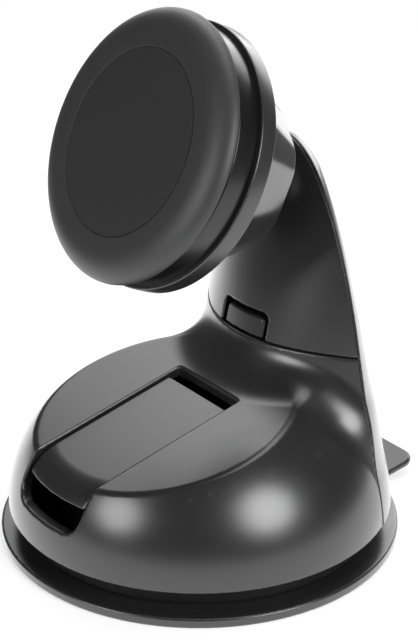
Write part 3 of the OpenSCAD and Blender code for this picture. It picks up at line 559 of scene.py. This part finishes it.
def coil(name, radius, wire, turns, length, place):
    """A wire wound round the Z axis of its place, from 0 to length."""
    t = np.linspace(0, 1, TURN_STEPS * turns + 1)[:, None]
    k = np.arange(WIRE_SIDES) * math.tau / WIRE_SIDES
    r, a = radius + wire * np.cos(k), math.tau * turns * t
    rise = wire + (length - 2 * wire) * t + wire * np.sin(k)
    points = np.stack([r * np.cos(a), r * np.sin(a), rise], 2).reshape(-1, 3)
    faces = []
    for here in range(0, WIRE_SIDES * TURN_STEPS * turns, WIRE_SIDES):
        ahead = here + WIRE_SIDES
        for j in range(WIRE_SIDES):
            m = (j + 1) % WIRE_SIDES
            faces.append((here + j, ahead + j, ahead + m, here + m))
    last = len(points) - 1
    ends = [tuple(range(WIRE_SIDES)), tuple(range(last, last - WIRE_SIDES, -1))]
    return piece(name, points, faces + ends, place=place)


spring_low, spring_high = (np.array(corner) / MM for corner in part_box("catch_spring"))
spring_len, spring_mid = spring_high[1] - spring_low[1], (spring_low[2] + spring_high[2]) / 2
spring_r = (spring_high[0] - spring_low[0]) / 2 - WIRE_R
backwards = Matrix.Rotation(math.radians(-90), 4, "X")
behind = Matrix.Translation((0, spring_low[1] * MM, spring_mid * MM)) @ backwards
spring_piece = coil("catch_coil", spring_r, WIRE_R, TURNS, spring_len, behind)
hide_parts("catch_spring")
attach(spring_piece, "base")
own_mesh(spring_piece)

# %% [markdown]
# The catch is a small glossy key in the window, with an even dark gap round it. Its face is the neck's own
# field moved in by 0.3 mm, so it follows the arm's bow, which a flat key wouldn't. A flange behind keeps it
# from falling out.

# %% The catch
KEY_SINK, KEY_HALF, KEY_TOP, KEY_CORNER, KEY_EDGE = 0.3, 5.05, 37.7, 1.0, 0.4
KEY_FOOT, KEY_BACK = 34.3, 13.1
HOLD_HALF, HOLD_HALF_H, HOLD_MID, HOLD_FRONT, HOLD_CORNER = 6.85, 2.7, 36.8, 12.1, 0.6  # its flange


def catch(x, y, z):
    """The key with its flange."""
    front = rounded_box(x, z - KEY_TOP + BELOW_SEAM, KEY_HALF, BELOW_SEAM, KEY_CORNER)
    face = common(neck(x, y, z) + KEY_SINK, front, KEY_EDGE)
    flange = rounded_box(x, z - HOLD_MID, HOLD_HALF, HOLD_HALF_H, HOLD_CORNER)
    body = np.minimum(face, np.maximum(flange, HOLD_FRONT - y))
    return np.maximum(np.maximum(body, y - KEY_BACK), KEY_FOOT - z)


catch_piece = moulded("catch_key", catch, low=(-7.2, 8.5, 34), high=(7.2, 13.4, 40), step=0.2)
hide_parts("release_catch")
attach(catch_piece, "catch")

# %% [markdown]
# Two cam cheeks under the lever pull the cup's stem up as the lever closes. Their curve could be drawn by
# eye, but then the cam would not match the joint. It is worked out instead: at each angle of the lever, the
# cheek just touches a level plane, and the pin has sunk towards it by that angle's share of the lift.

# %% The cam's outline
CAM_REACH, CAM_STEPS = 5.95, 16  # distance from the pin to the plane with the lever closed
CHEEK_BACK = [(2.5, 0), (2.5, 1.25), (-0.5, 3.6), (-7.2, 1.9), (-6, -1.25)]  # round the pin to the lever


def cam_point(a):
    """The place on the cheek that touches the plane when the lever is open by the angle a."""
    r, fall = CAM_REACH - LIFT * a / LEVER_OPEN, LIFT / LEVER_OPEN
    return (r * math.sin(a) - fall * math.cos(a), -r * math.cos(a) - fall * math.sin(a))


cam = [cam_point(LEVER_OPEN * i / CAM_STEPS) for i in range(CAM_STEPS + 1)]
print("cam runs from", [round(v, 2) for v in cam[0]], "to", [round(v, 2) for v in cam[CAM_STEPS]])
cam += CHEEK_BACK

# %% [markdown]
# The lever's face lies a little under the deck and bends down over its edge, where a finger lifts it. It is
# made from the dome and the deck themselves, both moved in by the same amount, so that it lies evenly deep
# all along the bend.

# %% The lever
LEVER_SINK, BEND_R, LEVER_T = 0.6, 2.2, 2.0
LEVER_HALF, LEVER_REAR, LEVER_CORNER, NOSE_Z = 8.3, -0.5, 0.5, 15.2
SIDE_EDGE, NOSE_EDGE = 0.3, 0.4
RIB_X, RIB_HALF, RIB_SINK, RIB_FRONT, RIB_DEPTH = 7.55, 0.75, 1, -22, 5.5
CHEEK_X, CHEEK_HALF, PIN_R = 4.5, 1.2, 1.3


def lever(x, y, z):
    """A thin bent plate with two ribs and two cam cheeks, and a hole for the pin."""
    top = common(dome(x, y, z) + LEVER_SINK, deck(x, y, z) + LEVER_SINK, BEND_R)
    sides = rounded_box(x, y - LEVER_REAR + OPEN_END, LEVER_HALF, OPEN_END, LEVER_CORNER)
    plate = common(common(top, sides, SIDE_EDGE), NOSE_Z - z, NOSE_EDGE)
    plate = common(plate, -(top + LEVER_T), SIDE_EDGE)
    rib = np.maximum(np.abs(np.abs(x) - RIB_X) - RIB_HALF, top + RIB_SINK)
    rib = np.maximum(rib, np.maximum(RIB_FRONT - y, y - LEVER_REAR))
    rib = np.maximum(rib, -(deck(x, y, z) + RIB_DEPTH))
    cheek = np.maximum(outline(y, z - PIN_Z, cam), np.abs(np.abs(x) - CHEEK_X) - CHEEK_HALF)
    body = joined(np.minimum(plate, rib), cheek, SIDE_EDGE)
    return np.maximum(body, PIN_R - np.hypot(y, z - PIN_Z))


lever_piece = moulded("lever_plate", lever, low=(-8.6, -33.5, 13), high=(8.6, 3, 25.5), step=0.3)
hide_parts("lock_lever")
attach(lever_piece, "lever")

# %% [markdown]
# The suction cup is one rubber moulding: a flat ring that grips, a thin sloping flange and a crown that holds
# a rigid disc. Most of it could be turned, but a pull tab at the back, which breaks the seal, grows out of
# the rim with a soft root. A field blends the two.

# %% The cup
CUP_R, RING_R, RIM_H, RIM_EDGE = 35, 23, 1.6, 0.35
CUP_BEND = (26.5, 2.5)  # radius and height of the bend in the flange
CROWN_R, CROWN_FOOT, CROWN_TOP = 12.5, 4.8, 7.2
DISC_HOLE_R, DISC_FLOOR, UNDER_R, UNDER_Z = 11.05, 6.2, 10, 4
TAB_Y, TAB_SLANT, TAB_MID, TAB_ROOT = 32, math.radians(9), 4.6, 30
TAB_HALF, TAB_HALF_LENGTH, TAB_CORNER, TAB_T, TAB_EDGE, TAB_FILLET = 9.8, 7, 3, 1.2, 0.45, 0.8
PAST = 1  # how far the outline runs past the axis and past the rim, where it is cut

cup_outline = [
    (RING_R, 0), (CUP_R + PAST, 0), (CUP_R + PAST, RIM_H), CUP_BEND, (CROWN_R, CROWN_FOOT),
    (CROWN_R, CROWN_TOP), (DISC_HOLE_R, CROWN_TOP), (DISC_HOLE_R, DISC_FLOOR), (-PAST, DISC_FLOOR),
    (-PAST, UNDER_Z), (UNDER_R, UNDER_Z),
]


def cup(x, y, z):
    """The turned cup with its pull tab."""
    r = np.hypot(x, y)
    body = common(outline(r, z, cup_outline), r - CUP_R, RIM_EDGE)
    v = (y - TAB_Y) * math.cos(TAB_SLANT) + z * math.sin(TAB_SLANT)
    h = z * math.cos(TAB_SLANT) - (y - TAB_Y) * math.sin(TAB_SLANT)
    flat = rounded_box(x, v - TAB_MID, TAB_HALF, TAB_HALF_LENGTH, TAB_CORNER)
    tab = common(flat, np.abs(h - TAB_T / 2) - TAB_T / 2, TAB_EDGE)
    tab = np.maximum(tab, TAB_ROOT - y)
    return np.maximum(joined(body, tab, TAB_FILLET), -z)


cup_piece = moulded("rubber_cup", cup, low=(-35.2, -35.2, -0.2), high=(35.2, 43.8, 7.4), step=0.34)
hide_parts("suction_cup")
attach(cup_piece, "base")
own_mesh(cup_piece)

# %% [markdown]
# Every piece of the head is round, so each is turned from its outline. Heights are measured from the front
# face, backwards as minus. The rubber pad has a swollen edge, a quarter of an ellipse, which gives the soft
# bright line that runs round the head in the photograph.

# %% The rubber pad
HEAD_SLANT = math.radians(25)  # how far the head looks up
HEAD = Matrix.Translation(Vector(FACE) * MM) @ Matrix.Rotation(math.pi / 2 - HEAD_SLANT, 4, "X")
PAD_FLAT_R, SWELL_OUT, SWELL_BACK, SWELL_STEPS = 17.8, 4.6, 2.8, 14
PAD_INNER_R, PAD_TOP_R, DISC_SEAT, PAD_FLOOR, PAD_REAR = 15.3, 17.6, -1.15, -2.5, -3.8
LIP_R, PAD_REAR_R = 18.8, 21.0
swell = [
    (PAD_FLAT_R + SWELL_OUT * math.cos(t), -SWELL_BACK + SWELL_BACK * math.sin(t), 0)
    for t in np.linspace(0, math.pi / 2, SWELL_STEPS + 1)
]
pad_rear = [(0, DISC_SEAT, 0), (0, PAD_FLOOR, 0), (LIP_R, PAD_FLOOR, 0.2), (LIP_R, PAD_REAR, 0.1)]
pad_rear.append((PAD_REAR_R, PAD_REAR, 0.5))
pad_front = [(PAD_TOP_R, 0, 0), (PAD_INNER_R, 0, 0.15), (PAD_INNER_R, DISC_SEAT, 0.1)]
pad_piece = turned("rubber_pad", pad_rear + swell[:-1] + pad_front, HEAD)

# %% [markdown]
# A smooth disc is let into the pad with a hairline gap round it. Behind the pad comes the dark case that
# holds the magnets, then a glossy plate that is a little wider, and each shows as its own band. A single
# turned form with painted bands would lose the shadow lines between them.

# %% The disc, the case and the plate
DISC_R = 15.2
CASE_R, CASE_FLOOR, CASE_REAR = 21.4, -6.4, -7.7
PLATE_R, PLATE_FRONT, PLATE_REAR = 22.2, -7.75, -10.8
COLLAR_R, COLLAR_HOLE_R, COLLAR_SEAT = 12.15, 10.5, -9.3  # where the nut's threaded collar sits in the plate
disc_outline = [(0, DISC_SEAT, 0), (DISC_R, DISC_SEAT, 0.1), (DISC_R, 0, 0.12), (0, 0, 0)]
disc_piece = turned("smooth_disc", disc_outline, HEAD)
case_outline = [
    (0, CASE_FLOOR, 0), (0, CASE_REAR, 0), (CASE_R, CASE_REAR, 0.2), (CASE_R, PAD_REAR, 0.25),
    (LIP_R, PAD_REAR, 0.1), (LIP_R, CASE_FLOOR, 0.3),
]
case_piece = turned("magnet_case", case_outline, HEAD)
plate_outline = [
    (COLLAR_R, COLLAR_SEAT, 0), (COLLAR_HOLE_R, COLLAR_SEAT, 0), (COLLAR_HOLE_R, PLATE_REAR, 0.2),
    (PLATE_R, PLATE_REAR, 0.35), (PLATE_R, PLATE_FRONT, 0.3), (COLLAR_R, PLATE_FRONT, 0),
]
plate_piece = turned("gloss_plate", plate_outline, HEAD)
for obj, node, body, slot_name in (
    (pad_piece, "front_pad", "head", "pad_rubber"),
    (disc_piece, "face_disc", "head", "disc_plastic"),
    (case_piece, "head_case", "head", "inner_plastic"),
    (plate_piece, "head_plate", "head", "gloss_plastic"),
):
    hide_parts(node)
    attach(obj, body)

# %% [markdown]
# The ring nut is a cone with seven broad flat facets for the fingers and a narrow round crest between each
# pair. It presses the liner onto the ball. One facet is worked out and repeated by folding the angle, which
# keeps all seven alike.

# %% The nut
NUT_BACK, NUT_FRONT, NUT_REAR_R, NUT_FRONT_R = 24.2, 11.1, 13.4, 19.1
NUT_SLOPE = math.atan((NUT_FRONT_R - NUT_REAR_R) / (NUT_BACK - NUT_FRONT))
FACETS, FACET_D = 7, 0.5
CREST_EDGE, REAR_EDGE, FRONT_EDGE, NUT_HOLE_R = 0.3, 0.5, 0.4, 6.5
LINER_R, LINER_END, THREAD_R, THREAD_END = 8.65, -22.02, 10.45, -20.65  # the hollows inside the nut


def nut(x, y, z):
    """The faceted cone, hollow for the liner and the collar."""
    r, sector = np.hypot(x, y), math.tau / FACETS
    turn = np.mod(np.arctan2(y, x) + sector / 2, sector) - sector / 2
    lean = (z + NUT_BACK) * math.sin(NUT_SLOPE)
    cone = (r - NUT_REAR_R) * math.cos(NUT_SLOPE) - lean
    facet = (r * np.cos(turn) - NUT_REAR_R + FACET_D) * math.cos(NUT_SLOPE) - lean
    body = common(common(cone, facet, CREST_EDGE), -NUT_BACK - z, REAR_EDGE)
    body = common(common(body, z + NUT_FRONT, FRONT_EDGE), -(r - NUT_HOLE_R), REAR_EDGE)
    hollow = np.minimum(np.maximum(r - LINER_R, LINER_END - z), np.maximum(r - THREAD_R, THREAD_END - z))
    return np.maximum(body, -hollow)


nut_piece = moulded(
    "ring_nut_body", nut, low=(-19.3, -19.3, -24.4), high=(19.3, 19.3, -10.9), step=0.3, place=HEAD
)
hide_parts("ring_nut")
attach(nut_piece, "nut")

# %% [markdown]
# The steel stud shows between the nut and the arm: a ball, a thin neck, a flange that lies against the arm's
# boss, and a shank inside the arm. It is one turned form. The ball's arc ends where it meets the neck, so no
# two surfaces cross.

# %% The ball stud
STUD = Matrix.Translation(Vector(BALL) * MM) @ Matrix.Rotation(math.pi / 2 - STUD_SLANT, 4, "X")
BALL_R, NECK_R, STUD_FLANGE_R, SHANK_ROD_R = 6.5, 3.0, 4.2, 2.4
STUD_FLANGE_FROM, STUD_FLANGE_TO, STUD_END = -10.6, -12.0, -15.4
STUD_SIDES, BALL_STEPS = 96, 39
ball_arc = [
    (BALL_R * math.sin(t), BALL_R * math.cos(t), 0)
    for t in np.linspace(0, math.pi - math.asin(NECK_R / BALL_R), BALL_STEPS + 1)
]
stud_rod = [
    (NECK_R, STUD_FLANGE_FROM, 0.5), (STUD_FLANGE_R, STUD_FLANGE_FROM, 0.3),
    (STUD_FLANGE_R, STUD_FLANGE_TO, 0.2), (SHANK_ROD_R, STUD_FLANGE_TO, 0.1),
    (SHANK_ROD_R, STUD_END, 0.2), (0, STUD_END, 0),
]
stud_piece = turned("stud_and_ball", (ball_arc + stud_rod)[::-1], STUD, STUD_SIDES)
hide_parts("ball_stud")
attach(stud_piece, "stud")

# %% [markdown]
# Nearly everything on the holder is black, so its finishes differ in gloss and grain. Each is a small net of
# shader nodes. Nodes could be made and linked one by one, but the sums are easier to read as Python
# expressions, so a small class wraps a socket and lets the operators add the nodes.

# %% Write shader maths as expressions
class Wire:
    """An output socket. Python's operators on it add Math nodes; add() makes any other node."""

    def __init__(self, tree, socket=None):
        self.tree, self.socket = tree, socket

    def add(self, kind, settings=None, inputs=None, out=0):
        """A new node in the same tree: its settings first, then the values or links of its sockets."""
        node = self.tree.nodes.new(kind)
        for key, value in (settings or {}).items():
            setattr(node, key, value)
        for key, value in (inputs or {}).items():
            if isinstance(value, Wire):
                value.feed(node, key)
            else:
                node.inputs[key].default_value = value
        return Wire(self.tree, node.outputs[out])

    def feed(self, node, key):
        """Link this wire to a socket of a node."""
        self.tree.links.new(self.socket, node.inputs[key])

    def math(self, operation, a, b):
        return self.add("ShaderNodeMath", {"operation": operation}, {0: a, 1: b})

    def __add__(self, other):
        return self.math("ADD", self, other)

    def __sub__(self, other):
        return self.math("SUBTRACT", self, other)

    def __rsub__(self, other):
        return self.math("SUBTRACT", other, self)

    def __mul__(self, other):
        return self.math("MULTIPLY", self, other)

    def clamped(self, low, high):
        """0 up to low, 1 from high, and a straight rise between."""
        return self.add("ShaderNodeMapRange", {"clamp": True}, {0: self, 1: low, 2: high, 3: 0.0, 4: 1.0})

    __radd__, __rmul__ = __add__, __mul__


print("a wire takes +, - and * with numbers and with other wires")

# %% Name the parts that finishes share
COLOUR_A, COLOUR_B, COLOUR_OUT = 6, 7, 2  # the Mix node's sockets for colours
SWIRL = 1.0  # how far noise is bent


def finish(name):
    """A new material, its shader node and a wire on the object's own coordinates."""
    made = bpy.data.materials.new(name)
    made.use_nodes = True
    shader = made.node_tree.nodes["Principled BSDF"]
    return made, shader, Wire(made.node_tree).add("ShaderNodeTexCoord", out="Object")


def noise(at, size_mm, detail=2.0, rough=0.5):
    """Cloudy noise with blots of about size_mm, bent a little so that it leaves no rings on flat faces."""
    look = {"Scale": 1 / (size_mm * MM), "Detail": detail, "Roughness": rough, "Distortion": SWIRL}
    return at.add("ShaderNodeTexNoise", {}, {"Vector": at, **look})


def blend(factor, a, b):
    """Colour a where the factor is 0 and colour b where it is 1."""
    colours = {"Factor": factor, COLOUR_A: (*a, 1), COLOUR_B: (*b, 1)}
    return factor.add("ShaderNodeMix", {"data_type": "RGBA"}, colours, out=COLOUR_OUT)


print("noise for a grain of 0.35 mm has a scale of", round(1 / (0.35 * MM)), "per metre")

# %% [markdown]
# A moulded plastic or rubber face isn't one even tone. It has a fine grain from the mould, patches that are
# more or less polished by hands, pale specks, and edges that are rubbed a little lighter. An image texture
# could carry all that, but noise in the object's own coordinates needs no unwrapping and has no seams.

# %% Describe a moulded finish
PATCH_MM, SPECK_MM, WEAR_MM = 9.0, 0.5, 1.2
EDGE_FROM, EDGE_TO = 0.52, 0.62  # pointiness at which an edge starts to be worn, and is worn fully
WEAR_LEAST = 0.4  # share of the wear that an edge has everywhere, the rest comes in patches
SPECK_SHARE, WORN_ROUGHER, COAT_ROUGHNESS = 0.02, 0.1, 0.08
PALER_TIMES, PALER_PLUS = 2.2, 0.03  # how the rubbed colour comes from the plain one


def moulded_finish(
    name, colour, roughness, grain_mm, depth_mm, coat=0.0, wear=0.15, smudge=0.03, specular=0.5
):
    """Plastic or rubber with a grain, patches of more or less polish, and edges rubbed a little lighter."""
    made, shader, at = finish(name)
    grain = noise(at, grain_mm, 3.0)
    patches = noise(at, PATCH_MM, 1.0).clamped(0.2, 0.8)
    specks = noise(at, SPECK_MM, 2.0).clamped(0.6, 0.8)
    edges = at.add("ShaderNodeNewGeometry", out="Pointiness").clamped(EDGE_FROM, EDGE_TO)
    worn = edges * (WEAR_LEAST + (1 - WEAR_LEAST) * noise(at, WEAR_MM).clamped(0.4, 0.6)) * wear
    pale = tuple(min(1, c * PALER_TIMES + PALER_PLUS) for c in colour)
    blend(worn + specks * SPECK_SHARE, colour, pale).feed(shader, "Base Color")
    (roughness + smudge * (patches - 0.5) + WORN_ROUGHER * worn).feed(shader, "Roughness")
    relief = {"Strength": 1.0, "Distance": depth_mm * MM, "Height": grain}
    at.add("ShaderNodeBump", {}, relief).feed(shader, "Normal")
    shader.inputs["Coat Weight"].default_value = coat
    shader.inputs["Coat Roughness"].default_value = COAT_ROUGHNESS
    shader.inputs["Specular IOR Level"].default_value = specular
    print(name, "has a grain of", grain_mm, "mm")
    return made


# %% [markdown]
# The shells are satin: light from the windows of the room spreads on them but keeps an edge. The grain has to
# stay very shallow, because a deeper one breaks the soft reflections into worms. The lever gets a touch more
# roughness, so that its flat face reads as a part of its own beside the deck.

# %% The satin shells
SHELL_BLACK = (0.01, 0.01, 0.0102)
satin = moulded_finish("satin shell", SHELL_BLACK, roughness=0.285, grain_mm=0.35, depth_mm=0.0015)
lever_satin = moulded_finish("satin lever", SHELL_BLACK, roughness=0.315, grain_mm=0.35, depth_mm=0.0015)

# %% [markdown]
# The head's plate, the nut and the catch are the glossy parts, each to its own degree. The nut is the
# smoothest, so that its facets flip between bright and dark. A clear coat on each would give them all the
# same mirror, so their gloss is set mainly by roughness, part by part.

# %% The glossy parts
GLOSS_BLACK = (0.013, 0.013, 0.0132)
gloss = moulded_finish("gloss plastic", GLOSS_BLACK, roughness=0.2, grain_mm=0.4, depth_mm=0.003, coat=0.25)
plate_satin = moulded_finish("satin plate", GLOSS_BLACK, roughness=0.3, grain_mm=0.3, depth_mm=0.003)
nut_gloss = moulded_finish(
    "nut plastic", SHELL_BLACK, roughness=0.14, grain_mm=0.4, depth_mm=0.002, specular=0.35
)
catch_gloss = moulded_finish(
    "catch plastic", SHELL_BLACK, roughness=0.3, grain_mm=0.3, depth_mm=0.003, specular=0.35
)

# %% [markdown]
# The cup's rubber has a soft sheen, the pad's rubber is matt, and the disc let into it is the mattest face of
# all. The magnets' case is nearly black and reads as the dark band of the head. They differ mainly in
# roughness and in how much they mirror, which is what the eye reads on black things.

# %% Rubber, the disc and the case
PAD_BLACK, DEEP_BLACK = (0.016, 0.016, 0.0163), (0.004, 0.004, 0.004)
cup_rubber = moulded_finish("cup rubber", SHELL_BLACK, roughness=0.28, grain_mm=0.3, depth_mm=0.002)
pad_rubber = moulded_finish(
    "pad rubber", PAD_BLACK, roughness=0.5, grain_mm=0.25, depth_mm=0.012, specular=0.4
)
disc_matt = moulded_finish(
    "matt disc", GLOSS_BLACK, roughness=0.68, grain_mm=0.12, depth_mm=0.006,
    wear=0.1, smudge=0.04, specular=0.22,
)
case_matt = moulded_finish(
    "dark case", DEEP_BLACK, roughness=0.28, grain_mm=0.3, depth_mm=0.002, specular=0.3
)

# %% [markdown]
# Inside the holder are plain black mouldings, and a pale slippery liner round the ball. They hardly show, so
# they share the same recipe with plainer values. The black mouldings get the deepest black and almost no sheen,
# so that they also paint the shade in the gap under the dome. A piece seen only through a gap must stay dull,
# or the gap lights up.

# %% The hidden plastics
LINER_PALE = (0.55, 0.55, 0.52)
# deepest black and little sheen: partly the mouldings' own black, partly painted shade in the gap under the
# dome
inner = moulded_finish(
    "plain inner plastic", DEEP_BLACK, roughness=0.5, grain_mm=0.2, depth_mm=0.01, specular=0.12
)
liner_plastic = moulded_finish(
    "pale liner", LINER_PALE, roughness=0.35, grain_mm=0.3, depth_mm=0.005, wear=0.0
)

# %% [markdown]
# The stud, the springs and the screws are steel, and the magnets are plated with nickel. Real metal is
# brighter where it is polished, so one cloud of noise moves the colour and the roughness together, and a very
# shallow fine bump breaks the mirror.

# %% The metals
CLOUD_MM, CLOUD_ROUGHER, DULL_SHARE = 4.0, 0.12, 0.7
SCRATCH_DEPTH_MM, SCRATCH_STRENGTH = 0.01, 0.6


def metal_finish(name, colour, roughness, scratch_mm):
    """Plain or plated metal with fine uneven polish."""
    made, shader, at = finish(name)
    cloud = noise(at, CLOUD_MM, 3.0).clamped(0.3, 0.7)
    fine = noise(at, scratch_mm, 4.0, 0.7)
    dull = tuple(c * DULL_SHARE for c in colour)
    blend(cloud, dull, colour).feed(shader, "Base Color")
    (roughness + CLOUD_ROUGHER * (cloud - 0.5)).feed(shader, "Roughness")
    relief = {"Strength": SCRATCH_STRENGTH, "Distance": SCRATCH_DEPTH_MM * MM, "Height": fine}
    at.add("ShaderNodeBump", {}, relief).feed(shader, "Normal")
    shader.inputs["Metallic"].default_value = 1
    print(name, "has scratches of", scratch_mm, "mm")
    return made


STEEL_GREY, SCREW_GREY, NICKEL_GREY = (0.55, 0.55, 0.56), (0.3, 0.3, 0.31), (0.62, 0.61, 0.6)
steel = metal_finish("plain steel", STEEL_GREY, roughness=0.3, scratch_mm=0.2)
screw_steel = metal_finish("screw steel", SCREW_GREY, roughness=0.36, scratch_mm=0.2)
nickel = metal_finish("nickel plate", NICKEL_GREY, roughness=0.18, scratch_mm=0.3)

# %% [markdown]
# Each new piece gets its own finish. The CAD pieces that stay, most of them inside, get the finish of their
# slot in the record, so that nothing is left in the grey of the import.

# %% Put the finishes on
for obj, material in (
    (housing_piece, satin), (arm_piece, satin), (cover_piece, satin), (lever_piece, lever_satin),
    (catch_piece, catch_gloss), (cup_piece, cup_rubber), (pad_piece, pad_rubber), (disc_piece, disc_matt),
    (case_piece, case_matt), (plate_piece, plate_satin), (nut_piece, nut_gloss), (stud_piece, steel),
    (screws_piece, screw_steel), (spring_piece, steel),
):
    obj.data.materials.append(material)

by_slot = {
    "cup_rubber": cup_rubber, "shell_plastic": satin, "inner_plastic": inner, "gloss_plastic": gloss,
    "pad_rubber": pad_rubber, "disc_plastic": disc_matt, "steel": steel, "magnet": nickel,
    "liner_plastic": liner_plastic,
}
for part in frame["record"]["subparts"]:
    obj = frame["nodes"][part["node"]]
    obj.data.materials.clear()
    obj.data.materials.append(by_slot[part["material_slot"]])
print(len(by_slot), "slots have their finish")

# %% [markdown]
# The photograph has a white ground that runs in bright along the object's edges. A floor lit to white would
# flood the object with light, so the floor glows only for the camera and for mirror rays, for these most of
# all close to the foot. To all other light it stays a plain pale floor that takes the object's shadow.

# %% The floor
FLOOR_HALF, FLOOR_DROP = 1500, 0.02  # it lies a hair lower than the cup, so that the two faces don't flicker
FLOOR_WHITE, FLOOR_ROUGHNESS = (0.8, 0.8, 0.8, 1), 0.9
MIRROR_NEAR, MIRROR_FAR = 2.6, 0.3  # strength of the glow that mirror rays see, by the foot and far away
MIRROR_FADE, SHADOW_FADE = (0.2, 0.3), (0.12, 0.4)  # in metres from the foot's middle
SEEN_NEAR = 0.6  # share of white that the camera sees by the foot, where the shadow falls
floor_corners = [(-FLOOR_HALF, -FLOOR_HALF, 0), (FLOOR_HALF, -FLOOR_HALF, 0)]
floor_corners += [(FLOOR_HALF, FLOOR_HALF, 0), (-FLOOR_HALF, FLOOR_HALF, 0)]
floor = piece("studio_floor", floor_corners, [(0, 1, 2, 3)])
floor.location.z = -FLOOR_DROP * MM
floor_paint, shader, at = finish("studio white")
shader.inputs["Base Color"].default_value = FLOOR_WHITE
shader.inputs["Roughness"].default_value = FLOOR_ROUGHNESS
seen = at.add("ShaderNodeLightPath", out="Is Camera Ray")
mirrored = at.add("ShaderNodeLightPath", out="Is Glossy Ray")
distance = at.add("ShaderNodeVectorMath", {"operation": "LENGTH"}, {0: at}, out=1)
close_by, clear = 1 - distance.clamped(*MIRROR_FADE), distance.clamped(*SHADOW_FADE)
glow = at.add("ShaderNodeEmission", {}, {"Strength": 1.0})
far_glow = at.add("ShaderNodeEmission", {}, {"Strength": MIRROR_FAR})
near_glow = at.add("ShaderNodeEmission", {}, {"Strength": MIRROR_NEAR})
bright = at.add("ShaderNodeMixShader", {}, {0: close_by, 1: far_glow, 2: near_glow})
white_share = seen * (SEEN_NEAR + (1 - SEEN_NEAR) * clear)
mixed = at.add("ShaderNodeMixShader", {}, {0: white_share, 1: Wire(at.tree, shader.outputs[0]), 2: glow})
mixed = at.add("ShaderNodeMixShader", {}, {0: mirrored, 1: mixed, 2: bright})
mixed.feed(at.tree.nodes["Material Output"], "Surface")
floor.data.materials.append(floor_paint)

# %% [markdown]
# Above the floor the photograph is white too. The camera sees a white world, but as light the world stays
# weak, because an even light from all round would wash out the dark reflections that make the plastic black.

# %% The world
ROOM_LIGHT = 0.12  # strength of the world for everything but the camera, which sees white
world = bpy.data.worlds.new("studio")
bpy.context.scene.world = world
world.use_nodes = True
background = world.node_tree.nodes["Background"]
open_view = Wire(world.node_tree).add("ShaderNodeLightPath", out="Is Camera Ray")
(open_view + (1 - open_view) * ROOM_LIGHT).feed(background, "Strength")
background.inputs["Color"].default_value = (1, 1, 1, 1)
print("the world gives", ROOM_LIGHT, "of white")

# %% [markdown]
# Black plastic shows what it mirrors, so the lamps are placed by the bright patches of the photograph: two
# small windows on the dome's flank, a soft light above that lays an even grey on the deck, and a bright wall
# behind. Each is a round soft lamp, given by its direction, by how wide it looks from the foot and by its
# brightness, because a reflection shows nothing else.

# %% Lamps
LAMP_DISTANCE, LAMP_AIM = 420, 20  # how far the lamps stand, and the height on the holder that they face
LAMPS = [  # name, degrees round from the front, degrees up, degrees across, brightness
    ("right_softbox", 97, 28, 30, 16),
    ("front_softbox", 3, 23, 25, 13),
    ("left_back_softbox", -115, 57, 26, 5),
    ("left_low_panel", -125, 32, 46, 2.7),
    ("back_card", -148, 2, 16, 2.2),
    ("overhead_softbox", -170, 78, 35, 5),
    ("back_wall", -162, 22, 34, 5),
]


def softbox(name, azimuth, rise, across_deg, radiance):
    """A round soft lamp in a given direction from the foot, as wide as across_deg degrees seen from there."""
    turn, up = math.radians(azimuth), math.radians(rise)
    away = Vector((math.sin(turn) * math.cos(up), -math.cos(turn) * math.cos(up), math.sin(up)))
    data = bpy.data.lights.new(name, "AREA")
    data.shape = "DISK"
    data.size = 2 * LAMP_DISTANCE * MM * math.tan(math.radians(across_deg / 2))
    data.energy = radiance * math.pi * math.pi * (data.size / 2) ** 2
    obj = bpy.data.objects.new(name, data)
    obj.location = away * LAMP_DISTANCE * MM + Vector((0, 0, LAMP_AIM * MM))
    obj.rotation_euler = away.to_track_quat("Z", "Y").to_euler()
    bpy.context.scene.collection.objects.link(obj)
    print(name, "spans", round(data.size / MM), "mm and gives", round(data.energy, 2), "W")


for lamp in LAMPS:
    softbox(*lamp)

# %% [markdown]
# The Standard view shows a colour about as it is written, which a film-like view would soften.

# %% Set the view
bpy.context.scene.view_settings.view_transform = "Standard"
